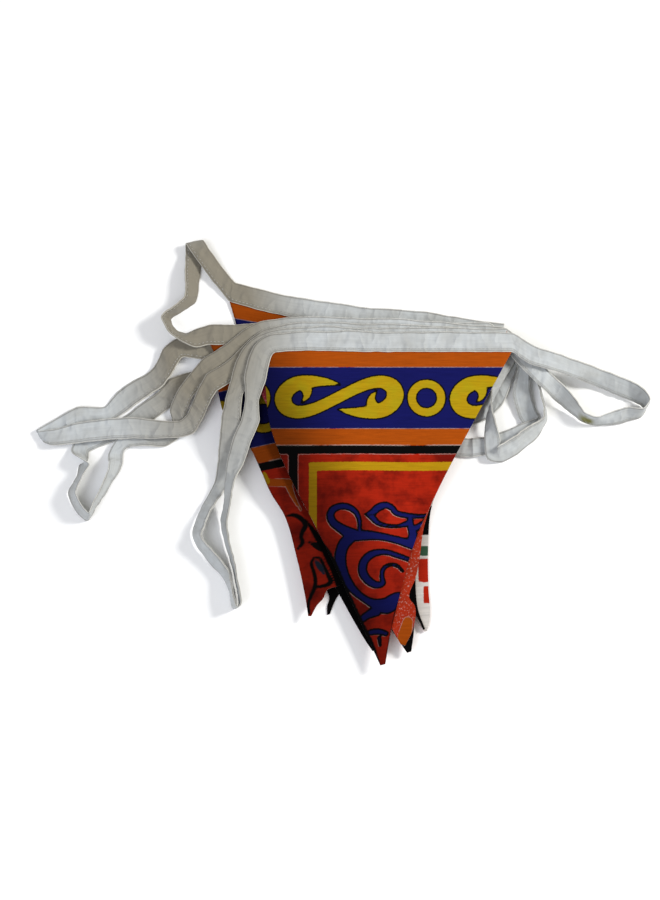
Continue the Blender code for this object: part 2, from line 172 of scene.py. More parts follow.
# From the left end of pennant 1 up to a point, back down on edge and in to pennant 4
LOOP_UPPER_LEFT = (
    Rung(-107, 46, 3.5, -114, 35.5, 3),
    Rung(-116, 58, 6.5, -125, 50, 7),
    Rung(-121, 65.5, 7.5, -133, 61.5, 7.5),
    Rung(-122.5, 68, 5, -135, 65.5, 4.5),
    Rung(-122, 61.5, 2.5, -135, 59, 3.5),
    Rung(-124, 45, 1, -135, 42, 9),
    Rung(-127, 22, 1, -135, 23, 11),
    Rung(-136, 15, 1, -142, 15.5, 13.5),
    Rung(-145.5, 8.5, 1.5, -152, 7.5, 14.5),
    Rung(-142, 1, 3, -147, -4, 15),
    Rung(-134, -3.5, 6, -139, -10, 13),
    Rung(-126, -1, 9, -127, -16, 11),
)
# From pennant 3 out to the far left point, folded flat there, and back up to pennant 6
LOOP_FAR_LEFT = (
    Rung(-125, -9, 7, -124, -23, 7),
    Rung(-141, -7.5, 6.5, -136, -21.5, 6.5),
    Rung(-150, -14, 5, -140, -27, 7),
    Rung(-155, -25, 3, -144, -35, 7),
    Rung(-160, -31.5, 1.5, -152, -44.5, 6),
    Rung(-172, -38, 1, -163, -51, 3.5),
    Rung(-183, -46, 1, -176, -60.5, 1.5),
    Rung(-192, -57, 1, -188, -68, 1),
    Rung(-212, -58, 4, -210, -71, 1),
    Rung(-228, -67, 2.5, -222, -77, 1),
    Rung(-242, -76, 3, -236, -83.5, 2.5),
    Rung(-228, -75, 5.5, -230, -87, 5),
    Rung(-210, -70, 5.5, -212, -85.5, 5),
    Rung(-190, -67.5, 6.5, -190, -83, 5.5),
    Rung(-170, -66.5, 6.5, -170, -82, 5.5),
    Rung(-152, -69, 6.5, -153, -82, 5.5),
    Rung(-137, -69, 6.5, -136, -81, 5.5),
    Rung(-132.5, -65, 7, -127, -78, 6),
    Rung(-129, -58, 9, -121, -68, 8),
    Rung(-124, -47, 13, -115.5, -56, 12.5),
)
# From pennant 2 under the far left loop to the lower left ring, and back under it to pennant 5
LOOP_LOWER_LEFT = (
    Rung(-118, -29, 4, -118, -44, 4),
    Rung(-133, -32.5, 4, -133, -47, 3),
    Rung(-145, -36.5, 3.5, -140, -49.5, 2.5),
    Rung(-154, -47, 3, -143, -56.5, 2),
    Rung(-167, -56, 1.2, -157, -67, 1),
    Rung(-180, -66, 1, -171, -78, 1),
    Rung(-196, -73, 1, -190, -85, 1),
    Rung(-212, -80, 1, -203, -91, 1),
    Rung(-216, -90, 3, -203, -95, 1.5),
    Rung(-208, -98, 13, -204, -98, 1),
    Rung(-201, -102, 12, -209, -100, 1),
    Rung(-206, -111.5, 14, -211, -109, 1),
    Rung(-211, -124.5, 14.5, -217, -121, 1),
    Rung(-206, -133.5, 14, -212, -133, 1),
    Rung(-201.5, -138.5, 13.5, -204, -142, 1),
    Rung(-197, -127.5, 14, -195, -128, 1),
    Rung(-191, -113, 12, -187, -114, 1),
    Rung(-188, -101.5, 10, -179, -101, 1),
    Rung(-189, -93, 4, -178, -90, 1),
    Rung(-181, -79, 2.8, -173, -87, 2.8),
    Rung(-162, -72, 2.7, -160, -87, 2.7),
    Rung(-146, -73, 1, -148, -87, 1),
    Rung(-143, -68.5, 2, -138, -80.5, 1.5),
    Rung(-145, -60, 3.5, -134.5, -67, 3.5),
    Rung(-138, -45, 9, -128.5, -52, 9),
)
# From pennant 7 down to the low left ring and its point, and back up on edge to pennant 8
LOOP_LOW = (
    Rung(-104, -55, 20, -92, -53, 20),
    Rung(-107, -69.5, 19, -93.5, -69.5, 19),
    Rung(-108.5, -83.5, 14.5, -94.5, -83.5, 15.5),
    Rung(-110, -99, 7, -96, -99, 7.5),
    Rung(-112, -113, 2, -101, -114, 3.5),
    Rung(-116, -122, 1, -109, -126, 7),
    Rung(-123, -136, 1, -116, -141, 13),
    Rung(-128, -151, 1, -121, -155.5, 14),
    Rung(-124, -160, 1, -117, -161.5, 13.5),
    Rung(-114, -174, 1, -107.5, -171, 12),
    Rung(-105, -184, 1, -101.5, -180, 12),
    Rung(-100.5, -195, 1, -98.5, -193, 14),
    Rung(-98, -206, 1, -95.5, -206.5, 14.5),
    Rung(-94.5, -204, 1, -93, -206, 15),
    Rung(-96, -190, 1, -94.5, -191, 15.5),
    Rung(-100.5, -171, 1, -98, -173, 15.5),
    Rung(-106, -155, 1, -102, -158, 15),
    Rung(-108, -141, 1, -103, -145, 14.5),
    Rung(-105, -127, 6, -100, -129, 16),
    Rung(-105, -116, 10, -98, -116, 16),
    Rung(-103, -100.5, 11.5, -91, -101.5, 14),
    Rung(-99, -85, 18, -86, -87.5, 17.5),
    Rung(-93, -72, 20.5, -80, -73, 20),
    Rung(-90, -57, 22, -80.5, -58, 21.5),
)
# From pennant 8 far to the right, round on edge, and back to pennant 6
LOOP_FAR_RIGHT = (
    Rung(117, -17, 21, 113, -30, 20),
    Rung(132, -22, 20, 129, -34.5, 19),
    Rung(147, -26, 16, 144, -37.5, 12),
    Rung(166, -31.5, 10, 163, -43, 4),
    Rung(185, -39.5, 10, 183, -51, 2),
    Rung(196, -46, 12, 193, -55, 1.5),
    Rung(201, -55, 14, 198, -59, 1),
    Rung(196, -62, 14.5, 194, -65, 1),
    Rung(184, -60, 12.5, 184, -68, 1),
    Rung(173, -63.5, 12, 173, -71, 1),
    Rung(163, -68, 14, 163, -70.5, 1),
    Rung(155, -66, 15, 153, -68.5, 1.5),
    Rung(148, -56, 14.5, 143, -61, 2),
    Rung(140, -46, 15, 133.5, -54, 5),
    Rung(129, -36, 15.8, 123, -47, 15),
    Rung(117, -22, 16, 111, -35, 15.5),
)
# From pennant 5 down to a flat fold, along the table, under the bundle's edge and up to pennant 3
LOOP_RIGHT_INNER = (
    Rung(108, -10, 12.5, 102, -23, 12.5),
    Rung(114, -27, 11.5, 106, -30, 9.5),
    Rung(115, -45, 5, 102, -48, 4),
    Rung(118, -58, 2.5, 106.5, -65, 1.5),
    Rung(121.5, -65, 2.2, 113, -79, 2),
    Rung(110, -70, 4.8, 106, -84, 4.4),
    Rung(96, -76, 4, 97, -90, 3.5),
    Rung(83, -80, 3, 84, -93, 3),
    Rung(72, -81, 2, 72, -95, 2),
    Rung(63, -80, 1.2, 59, -93, 1.2),
    Rung(61, -77, 1.2, 51, -82, 1.2),
    Rung(64, -73, 1.2, 55, -64, 1.2),
    Rung(73, -71, 1.2, 70, -58, 1.2),
    Rung(85, -66, 2, 79, -53, 2),
    Rung(95, -56, 2.5, 86, -45, 2.5),
    Rung(101, -42, 4, 91, -36, 4),
    Rung(106, -28, 6, 96.5, -27, 6),
    Rung(108, -14, 7.1, 99, -22, 7.1),
)
# From pennant 2 round the outside on edge, and up a narrow twisted strip to pennant 4
LOOP_RIGHT_OUTER = (
    Rung(112, -10, 4.2, 106, -22, 4.2),
    Rung(118, -20, 3, 112, -28, 4),
    Rung(121, -31, 1, 118, -33, 12.5),
    Rung(123, -43, 1, 121, -44, 13),
    Rung(126.5, -58, 1, 124, -58, 14.5),
    Rung(127.5, -67, 1, 124, -69, 14),
    Rung(120, -80, 1, 113, -75, 13.5),
    Rung(105, -93, 1, 100, -84, 12.5),
    Rung(93, -99, 1, 90, -90, 12),
    Rung(83, -98, 5, 92, -88, 7.5),
    Rung(81.5, -86, 5.5, 93, -83, 7.5),
    Rung(82, -72, 5, 89, -72, 14),
    Rung(85, -60, 5, 86, -60, 18),
    Rung(91, -48, 6, 86, -49, 17),
    Rung(98, -36, 8, 90, -37, 13),
    Rung(104, -25, 9.5, 95, -28, 10.5),
    Rung(104, -12, 10, 96, -21, 10),
)
# A loop: the pennants and the sides of them that it joins
Loop = namedtuple("Loop", "name first first_side last last_side rungs")
LOOPS = (
    Loop("tape_loop_left_1", 1, "left", 4, "left", LOOP_UPPER_LEFT),
    Loop("tape_loop_left_2", 3, "left", 6, "left", LOOP_FAR_LEFT),
    Loop("tape_loop_left_3", 2, "left", 5, "left", LOOP_LOWER_LEFT),
    Loop("tape_loop_left_4", 7, "left", 8, "left", LOOP_LOW),
    Loop("tape_loop_right_1", 8, "right", 6, "right", LOOP_FAR_RIGHT),
    Loop("tape_loop_right_2", 5, "right", 3, "right", LOOP_RIGHT_INNER),
    Loop("tape_loop_right_3", 2, "right", 4, "right", LOOP_RIGHT_OUTER),
)



# The route of the one tape, from its free end over pennant 7 to its free end over pennant 1. A
# heading's sign says which way the tape runs over it: 1 from left to right, -1 back
ROUTE = (
    ("heading", 7, -1), ("loop", "left_4", 1), ("heading", 8, 1), ("loop", "right_1", 1),
    ("heading", 6, -1), ("loop", "left_2", -1), ("heading", 3, 1), ("loop", "right_2", -1),
    ("heading", 5, -1), ("loop", "left_3", -1), ("heading", 2, 1), ("loop", "right_3", 1),
    ("heading", 4, -1), ("loop", "left_1", -1), ("heading", 1, 1),
)


# The print

# Where the print lies on a pennant: its kind, the plan point of its top middle, how far it is
# turned in degrees, how far its pattern is shifted along the bands, how much of its brightness
# is taken by painted shade, and if it faces down
PrintPlace = namedtuple("PrintPlace", "name kind x y turn shift worn face_down")
PRINT_PLACES = (
    PrintPlace("pennant_1", "arabesque", -3, 3, -10.5, 18, 0.25, False),
    PrintPlace("pennant_2", "blocks", 0, -13, 0, 0, 0.0, False),
    PrintPlace("pennant_3", "dark", 0, -13, 0, 40, 0.2, False),
    PrintPlace("pennant_4", "arabesque", -14, -12, 0, 70, 0.5, False),
    PrintPlace("pennant_5", "dark", 0, -10, 3, 95, 0.2, False),
    PrintPlace("pennant_6", "arabesque", 0, -14, 12.7, 0, 0.66, False),
    PrintPlace("pennant_7", "field", 0, -18, 0, 0, 0.22, True),
    PrintPlace("pennant_8", "arabesque", 1.1, -22, 0, 0, 0.0, False),
)

# Boxes of the print, in millimetres from its top middle: along the bands, then down. The bands
# of the arabesque run past both sides, and its field lies inside a black bar and a frame line
BIG = 400.0
PrintBox = namedtuple("PrintBox", "ink left top right bottom")
ARABESQUE_BOXES = (
    PrintBox("orange", -BIG, -20, BIG, 11.2),
    PrintBox("navy", -BIG, 11.2, BIG, 56.4),
    PrintBox("orange", -BIG, 56.4, BIG, 68.3),
    PrintBox("black", -BIG, 68.3, BIG, 74.2),
    PrintBox("black", -60.1, 73, -53.7, BIG),
    PrintBox("frame", -45.7, 80.1, BIG, 86.1),
    PrintBox("frame", -45.7, 80.1, -40.0, BIG),
)
FIELD_BOXES = (
    PrintBox("orange", -BIG, -20, BIG, 11.2),
    PrintBox("navy", -BIG, 11.2, BIG, 56.4),
)
DARK_BOXES = (
    *FIELD_BOXES,
    PrintBox("black", -BIG, 100, BIG, BIG),
)
BLOCK_BOXES = (
    PrintBox("green", -BIG, 60, BIG, 76),
    PrintBox("black", -BIG, 118, BIG, 139.2),
    PrintBox("green", 34.2, 147.3, 41.2, 154.4),
    PrintBox("red", 33.4, 156.6, BIG, 173.6),
    PrintBox("red", 37.0, 176.6, BIG, 189),
    PrintBox("red", -60, 118, -20, 136),
    PrintBox("red", -12, 28, 40, 48),
)

PRINT_BOXES = {"arabesque": ARABESQUE_BOXES, "field": FIELD_BOXES, "dark": DARK_BOXES,
               "blocks": BLOCK_BOXES}

# Tapered brush strokes, as rows of (along the bands, down, half width). One half of the S-scroll
# is drawn about its own middle and is turned half round for the other half
SCROLL_MIDDLE = (-24.0, 33.3)
SCROLL_REPEAT = 125.4
SCROLL_HALF = (
    ((0, 0, 4.0), (-8, 4.2, 4.0), (-16, 8.0, 4.1), (-24, 10.6, 4.3), (-31.4, 11.0, 4.6), (-38, 7.6, 5.5),
     (-40.2, 1.6, 5.9), (-37.8, -4.6, 5.6), (-31.4, -9.4, 5.3), (-23, -11.2, 4.6), (-14, -11.4, 3.4),
     (-6.4, -10.6, 2.0), (0.6, -9.2, 0.2)),
    ((-25, -8.8, 4.6), (-23.2, -5.0, 3.4), (-23.2, -1.4, 2.3), (-24.6, 1.6, 1.2), (-26.6, 3.4, 0.2)),
)
RING_MIDDLE = (38.5, 34.1)
RING_RADIUS = 10.5
RING_HALF_WIDTH = 2.9
# The scrollwork of the field: a hooked shoot, a leaf with its stalk, a trunk and a big spiral
SCROLLWORK = (
    ((-14.5, 132.4, 4.4), (-19.5, 129.6, 3.6), (-24.4, 126.4, 3.0), (-28.6, 122.8, 2.8), (-30.3, 118, 2.6),
     (-28.4, 113.8, 2.5), (-24.6, 111.9, 2.3), (-20, 111.6, 2.2), (-15.4, 113.2, 2.0), (-11.8, 116.4, 1.7),
     (-9.9, 121, 1.4), (-9.4, 129.8, 1.3)),
    ((-15.5, 133.6, 4.2), (-20.8, 139.4, 4.0), (-23.2, 147.6, 4.0), (-22.3, 156.6, 3.8), (-18.7, 165.6, 3.4),
     (-13.4, 172.6, 2.7), (-7.4, 177.8, 2.3), (-1, 181.6, 3.0), (4.5, 183.6, 4.6), (10, 183.6, 5.6),
     (15.5, 179.5, 4.6), (17.5, 176.6, 2.4)),
    ((-17, 133.2, 4.2), (-6, 132.9, 3.6), (5, 133.7, 2.7), (15.6, 135.9, 2.6), (28, 139.4, 3.4)),
    ((-5.4, 117.6, 0.5), (-0.4, 116.2, 2.2), (3.6, 112.8, 2.6), (9.2, 110.9, 2.2), (13.6, 112.8, 2.0),
     (16.4, 116.2, 1.9), (23.4, 118, 1.9), (31, 118.6, 1.5), (41, 118.2, 1.3)),
    ((-4.6, 118, 0.6), (-0.6, 119.8, 2.0), (3.4, 123.8, 1.6), (10.2, 125.9, 1.3), (18, 126.0, 1.2),
     (24.4, 124.2, 2.0)),
    ((26.4, 119.4, 1.8), (26.8, 125.4, 2.4), (28.4, 131.4, 3.0), (27.4, 138.4, 3.6)),
    ((27, 127.6, 2.2), (31, 127.0, 2.2), (34.6, 124.2, 1.4), (38, 121.4, 1.1)),
    ((27, 151.0, 1.5), (17.4, 147.6, 1.8), (8.2, 145.1, 1.9), (-1.5, 147, 2.6), (-6.6, 152.4, 2.9),
     (-7.4, 159, 3.0), (-3.6, 165.4, 2.8), (2.4, 168.8, 2.4), (6.8, 167.6, 1.8), (6.2, 162.6, 1.4),
     (7.2, 157.4, 1.3), (11.4, 154.5, 1.1), (16.8, 155, 1.1), (21, 158.8, 0.8)),
    ((2, 187.6, 3.6), (-4.2, 190.6, 2.6), (-9.6, 194.6, 2.2)),
    ((-6, 204.6, 1.2), (-1, 202.6, 1.9), (4, 202.3, 2.0), (9, 203.6, 1.6)),
    ((4.2, 206.8, 1.1), (4.8, 212, 0.7)),
)
# Strokes that only one pennant shows: its name, the ink, and rows of (plan x, plan -y, half width)
OwnStroke = namedtuple("OwnStroke", "pennant ink rows")
# The shadow ink is black: print in some strokes, and painted shade along the pennants' edges in others
OWN_STROKES = (
    OwnStroke("pennant_8", "shadow", ((-39.4, 155, 1.4), (-31, 169, 3.2), (-20.4, 193, 3.4), (-9, 216, 2.6),
                                      (0, 234, 2.0), (5, 246, 0.8))),
    OwnStroke("pennant_8", "shadow", ((21.5, 200, 1.0), (19.7, 206, 2.3), (16.3, 221, 2.4), (12.9, 236, 2.0),
                                      (10.9, 247, 1.2))),
    OwnStroke("pennant_6", "orange", ((-73, 115.8, 2.7), (-66, 115.8, 2.8), (-58.5, 115.8, 2.7))),
    OwnStroke("pennant_6", "orange", ((-59, 118, 2.4), (-55.4, 126.6, 1.6), (-50.4, 135.2, 0.7))),
    OwnStroke("pennant_6", "frame", ((-76.5, 110, 1.8), (-74.4, 115, 2.0))),
    OwnStroke("pennant_6", "shadow", ((-60.5, 139.6, 0.8), (-55.2, 139.2, 1.6), (-49.8, 142, 1.9),
                                      (-46.9, 146.2, 2.0), (-49, 150.9, 1.7), (-50.2, 154.8, 1.4),
                                      (-49, 159, 1.5), (-52.3, 163.7, 1.0))),
    OwnStroke("pennant_6", "shadow", ((-44.4, 159, 0.9), (-40.3, 160.7, 1.9), (-35.3, 163.3, 2.6))),
    OwnStroke("pennant_6", "scroll", ((-40.3, 160.9, 1.5), (-36.6, 162.6, 2.0), (-33, 163.6, 2.0))),
    OwnStroke("pennant_6", "shadow", ((-47, 142, 0.6), (-42.6, 148.8, 1.6), (-38.6, 154.8, 2.3), (-34.6, 160.7, 2.9),
                                      (-29.6, 170.1, 3.4), (-25.2, 179.5, 3.6), (-22, 188, 4), (-19, 197, 4))),
    OwnStroke("pennant_6", "shadow", ((-41.1, 170.1, 0.8), (-42.8, 174.4, 1.2), (-41.1, 180.3, 1.4),
                                      (-39.9, 186.3, 1.5), (-40.3, 191.4, 1.6), (-42.8, 197.4, 1.4),
                                      (-44.8, 203.3, 1.2), (-44.4, 210.1, 1.2))),
    OwnStroke("pennant_6", "shadow", ((-41.1, 170.1, 0.8), (-37, 170.6, 1.2), (-33.2, 177.8, 1.5),
                                      (-30.6, 183.4, 1.6), (-29, 187.8, 1.8), (-33.7, 190.6, 1.4),
                                      (-40.3, 191.4, 1.2))),
    OwnStroke("pennant_6", "slate", ((-39.6, 172.8, 1.2), (-37, 176.4, 2.2), (-33.9, 181.4, 1.2))),
    OwnStroke("pennant_1", "shadow", ((-36, 186, 4), (-28, 194, 5), (-29, 204, 4), (-31, 212, 3))),
    OwnStroke("pennant_4", "shadow", ((-44, 140, 7.0), (-27, 170, 9.0), (-12, 200, 9.0), (-2, 230, 8.0))),
    OwnStroke("pennant_7", "orange", ((25.6, 217, 3.6), (23.6, 225, 4.4), (20.6, 233, 3.2))),
)


# Lines and places

def blend(value, start, end):
    """0 at start, 1 at end, with a soft beginning and end. It takes numbers and arrays."""
    part = np.clip((value - start) / (end - start), 0.0, 1.0)
    return part * part * (3 - 2 * part)


def placed(x, y, z):
    """A point of the plan, in millimetres, as a point of the frame, in metres."""
    return (Vector((x, y, z)) - PLAN_TO_ORIGIN) * MM


def curve_through(before, start, end, after, part):
    """The point a part of the way from start to end on a smooth curve through four points."""
    near, far = max((start - before).length, 1e-6), max((after - end).length, 1e-6)
    span = max((end - start).length, 1e-6)
    leave = ((start - before) / near * span + (end - start)) * 0.5
    arrive = ((end - start) + (after - end) / far * span) * 0.5
    a, b = part * part, part * part * part
    place = start * (2 * b - 3 * a + 1) + end * (3 * a - 2 * b)
    return place + leave * (b - 2 * a + part) + arrive * (b - a)


def smoothed(points, steps):
    """The points with a smooth curve's points between them, the given number of steps for each."""
    ends = [points[0] * 2 - points[1], *points, points[-1] * 2 - points[-2]]
    curve = []
    for i in range(1, len(ends) - 2):
        curve += [curve_through(*ends[i - 1:i + 3], step / steps) for step in range(steps)]
    return curve + [points[-1]]


def plan_line(rows, fractions):
    """Plan points, as an array, at the fractions of the length of a smooth line through the rows."""
    line = np.array([tuple(p) for p in smoothed([Vector(row) for row in rows], 8)])
    reach = np.concatenate([[0], np.cumsum(np.linalg.norm(np.diff(line, axis=0), axis=1))])
    wanted = np.asarray(fractions) * reach[-1]
    return np.stack([np.interp(wanted, reach, line[:, 0]), np.interp(wanted, reach, line[:, 1])], axis=-1)


def heading_lines(pennant, fractions):
    """The heading's plan points at the fractions, and the directions out to the tape's fold."""
    points = plan_line(pennant.heading, fractions)
    step = 0.012
    ahead = plan_line(pennant.heading, np.clip(fractions + step, 0, 1))
    behind = plan_line(pennant.heading, np.clip(fractions - step, 0, 1))
    tangent = ahead - behind
    out = np.stack([-tangent[:, 1], tangent[:, 0]], axis=-1)
    return points, out / np.linalg.norm(out, axis=1)[:, None]


# The print as signed distances, in millimetres, below 0 inside a shape

def box_distance(u, v, box):
    """The distance to a box, its edges kept straight."""
    across = np.maximum(box.left - u, u - box.right)
    down = np.maximum(box.top - v, v - box.bottom)
    outside = np.hypot(np.maximum(across, 0), np.maximum(down, 0))
    return outside + np.minimum(np.maximum(across, down), 0)


def stroke_distance(u, v, rows):
    """The distance to a tapered stroke, as the nearest of many discs along its smooth line."""
    curve = smoothed([Vector(row) for row in rows], 7)
    nearest = np.full(u.shape, BIG)
    for x, y, half_width in curve:
        nearest = np.minimum(nearest, np.hypot(u - x, v - y) - half_width)
    return nearest


def scroll_distance(u, v):
    """The S-scroll and its ring, which repeat along the navy band."""
    shape = np.full(u.shape, BIG)
    for repeat in (-1, 0, 1, 2):
        across = u - SCROLL_MIDDLE[0] - repeat * SCROLL_REPEAT
        down = v - SCROLL_MIDDLE[1]
        for rows in SCROLL_HALF:
            shape = np.minimum(shape, stroke_distance(across, down, rows))
            shape = np.minimum(shape, stroke_distance(-across, -down, rows))
        ring = np.hypot(u - RING_MIDDLE[0] - repeat * SCROLL_REPEAT, v - RING_MIDDLE[1])
        shape = np.minimum(shape, np.abs(ring - RING_RADIUS) - RING_HALF_WIDTH)
    return shape


def print_distances(place, x, y, u, v):
    """For each ink, the distance to its nearest shape at the points of the print."""
    inks = {ink: np.full(u.shape, BIG) for ink in INKS}
    along = u + place.shift
    for box in PRINT_BOXES[place.kind]:
        inks[box.ink] = np.minimum(inks[box.ink], box_distance(along, v, box))
    if place.kind == "arabesque":
        inks["yellow"] = np.minimum(inks["yellow"], scroll_distance(along, v))
        for rows in SCROLLWORK:
            inks["scroll"] = np.minimum(inks["scroll"], stroke_distance(along, v, rows))
            inks["lift"] = np.minimum(inks["lift"], stroke_distance(along + 0.8, v - 0.8, rows))
    for pennant, ink, rows in OWN_STROKES:
        if pennant == place.name:
            inks[ink] = np.minimum(inks[ink], stroke_distance(x, -y, rows))
    return inks


INKS = ("orange", "navy", "black", "yellow", "frame", "scroll", "lift", "shadow", "slate", "red", "green")


# The cloth's surfaces

def layer_height(pennant, x, y, from_tape):
    """The height of the middle of a pennant's cloth, in millimetres, as in the solids."""
    if pennant.level == 0:
        under = CLOTH_LIFT * (1 - blend(from_tape, 0, BOTTOM_SETTLES))
        return under + CLOTH_THICK / 2
    fall = blend(y, *PITCH_FALLS_Y)
    fold = 0.5 - 0.5 * np.cos(2 * math.pi * (x + RIPPLE_SLANT * y) / RIPPLE_SPACING)
    ripple = RIPPLE * fold * blend(y, *RIPPLE_GROWS_Y) * (1 - blend(y, *RIPPLE_DIES_Y))
    pitch = TAPE_PITCH + (TIP_PITCH - TAPE_PITCH) * fall
    return pennant.level * (pitch + ripple) + CLOTH_LIFT * (1 - fall) + CLOTH_THICK / 2


def wrinkles(x, y, seed, from_tape):
    """Small soft creases of the cloth, in millimetres, stronger where the stitching gathers it."""
    rise = np.empty(x.shape)
    for i, (a, b) in enumerate(zip(x, y)):
        wide = noise.noise((a / 34, b / 55, seed))
        small = noise.noise((a / 9, b / 26, seed + 7.3))
        gather = noise.noise((a / 4.2, b / 30, seed + 3.1))
        rise[i] = 0.20 * wide + 0.10 * small + 0.28 * gather * math.exp(-from_tape[i] / 9)
    return rise


def clear_mesh(bm, name):
    mesh = bpy.data.meshes.new(name)
    bm.to_mesh(mesh)
    bm.free()
    obj = bpy.data.objects.new(name, mesh)
    bpy.context.scene.collection.objects.link(obj)
    for polygon in mesh.polygons:
        polygon.use_smooth = True
    return obj


def thicken(obj, thickness, reverse_slot, rim_slot):
    """Gives a sheet its thickness. Its own faces stay on top and the new ones lie below."""
    solid = obj.modifiers.new("cloth_thickness", "SOLIDIFY")
    solid.thickness = thickness
    solid.offset = 0.0
    solid.use_even_offset = False
    solid.material_offset = reverse_slot
    solid.material_offset_rim = rim_slot


def pennant_cloth(pennant, columns, rows):
    """The flat grid of a pennant laid on its plan: (object, plan x, plan y)."""
    bm = bmesh.new()
    bmesh.ops.create_grid(bm, x_segments=columns, y_segments=rows, size=0.5)
    across = np.array([vert.co.x + 0.5 for vert in bm.verts])
    down = np.array([0.5 - vert.co.y for vert in bm.verts])
    # The first part of the rows is the seam allowance inside the tape
    seam = SEAM_ROWS / rows
    reach = np.maximum(seam - down, 0) / seam * SEAM_ALLOWANCE
    t = np.maximum(down - seam, 0) / (1 - seam)
    heading, out = heading_lines(pennant, across)
    left = plan_line((pennant.heading[0], *pennant.left_side), t)
    right = plan_line((pennant.heading[-1], *pennant.right_side), t)
    ends = [np.array(pennant.heading[0]), np.array(pennant.heading[-1])]
    s = across[:, None]
    bulge = heading - (ends[0] * (1 - s) + ends[1] * s)
    place = left * (1 - s) + right * s + bulge * ((1 - t) ** 2)[:, None] + out * reach[:, None]
    x, y = place[:, 0], place[:, 1]
    from_tape = np.linalg.norm(place - heading, axis=1) * (reach == 0)
    height = np.where(reach > 0, pennant.level * TAPE_PITCH + CLOTH_LIFT + CLOTH_THICK / 2,
                      layer_height(pennant, x, y, from_tape))
    height = height + wrinkles(x, y, pennant.level * 11.7, from_tape) * (reach == 0)
    for vert, a, b, c in zip(bm.verts, x, y, height):
        vert.co = placed(a, b, max(c, VISUAL_CLOTH / 2 + 0.05))
    bm.normal_update()
    if sum(face.normal.z * face.calc_area() for face in bm.faces) < 0:
        bmesh.ops.reverse_faces(bm, faces=bm.faces)
    return clear_mesh(bm, pennant.name + "_cloth"), x, y


def store(mesh, name, values):
    layer = mesh.attributes.new(name, "FLOAT", "POINT")
    layer.data.foreach_set("value", np.asarray(values, dtype=np.float32))


def write_print(obj, place, x, y):
    """Stores where each point lies in the print, and its distance to each ink's shapes."""
    turn = math.radians(place.turn)
    a, b = x - place.x, y - place.y
    u = a * math.cos(turn) + b * math.sin(turn)
    v = -(-a * math.sin(turn) + b * math.cos(turn))
    if place.face_down:
        u = -u
    for ink, distance in print_distances(place, x, y, u, v).items():
        store(obj.data, ink, distance)
    # Painted shade: each pennant is darkened all over by its share, the uppermost one only towards its left edge
    soil = np.full(x.shape, place.worn)
    if place.name == "pennant_8":
        soil = EDGE_SHADE * (1 - blend(u - LEFT_EDGE_SLOPE * v, *SHADED_SIDE))
    store(obj.data, "soil", soil)
    layer = obj.data.uv_layers.new(name="threads")
    corners = np.empty(len(obj.data.loops), dtype=np.int32)
    obj.data.loops.foreach_get("vertex_index", corners)
    uv = np.stack([(u + place.shift) * MM, v * MM], axis=-1)[corners]
    layer.data.foreach_set("uv", uv.astype(np.float32).ravel())


# The tape

def rung_at_end(number, side):
    """The tape's two edges at one side of a pennant, out by the gap to the loop's solid."""
    pennant = PENNANTS[number - 1]
    points, out = heading_lines(pennant, np.array([0.0, 1.0]))
    i = 0 if side == "left" else 1
    away = np.array((-out[i][1], out[i][0])) * (1 if side == "left" else -1)
    outer = points[i] + away * LOOP_GAP + out[i] * TAPE_WIDTH
    inner = points[i] + away * LOOP_GAP + out[i] * LOOP_INSET
    height = pennant.level * TAPE_PITCH + TAPE_HEIGHT / 2
    return Rung(outer[0], outer[1], height, inner[0], inner[1], height)


def heading_stations(number):
    """Rows of outer edge, inner edge and 1, along the tape over a pennant, from left to right."""
    pennant = PENNANTS[number - 1]
    points, out = heading_lines(pennant, np.linspace(0.0, 1.0, HEADING_STATIONS))
    height = np.full(len(points), pennant.level * TAPE_PITCH + TAPE_HEIGHT / 2)
    outer = np.column_stack([points + out * TAPE_WIDTH, height])
    inner = np.column_stack([points, height])
    return np.column_stack([outer, inner, np.ones(len(points))])


def loop_stations(name):
    """Rows of outer edge, inner edge and 0, along a loop in its own direction."""
    loop = next(row for row in LOOPS if row.name == "tape_loop_" + name)
    ends = rung_at_end(loop.first, loop.first_side), rung_at_end(loop.last, loop.last_side)
    rungs = [ends[0], *loop.rungs, ends[1]]
    outer = smoothed([Vector(rung[:3]) for rung in rungs], LOOP_STEPS)
    inner = smoothed([Vector(rung[3:]) for rung in rungs], LOOP_STEPS)
    soft = np.array([(*a, *b) for a, b in zip(outer, inner)])
    # Limp cloth bends at soft corners, so part of the way it runs straight from rung to rung
    part = np.linspace(0, len(rungs) - 1, len(soft))
    straight = np.column_stack([np.interp(part, np.arange(len(rungs)), column) for column in zip(*rungs)])
    rows = soft * (1 - FACETED) + straight * FACETED
    return np.column_stack([rows, np.zeros(len(rows))])


def tape_route(step):
    """The whole tape at even steps: outer edges, inner edges, heading shares and lengths so far."""
    rows = []
    for kind, name, way in ROUTE:
        stations = heading_stations(name) if kind == "heading" else loop_stations(name)
        rows.append(stations if way == 1 else stations[::-1])
    rows = np.concatenate(rows)
    middle = (rows[:, :3] + rows[:, 3:6]) / 2
    reach = np.concatenate([[0], np.cumsum(np.linalg.norm(np.diff(middle, axis=0), axis=1))])
    along = np.linspace(0, reach[-1], int(reach[-1] / step) + 1)
    even = np.column_stack([np.interp(along, reach, column) for column in rows.T])
    # A short running mean takes out the small corners where a heading meets a loop
    padded = np.concatenate([even[:1], even, even[-1:]])
    even = (padded[:-2] + 2 * padded[1:-1] + padded[2:]) / 4
    return even[:, :3], even[:, 3:6], even[:, 6], along


def unit(vectors):
    return vectors / np.maximum(np.linalg.norm(vectors, axis=-1, keepdims=True), 1e-9)


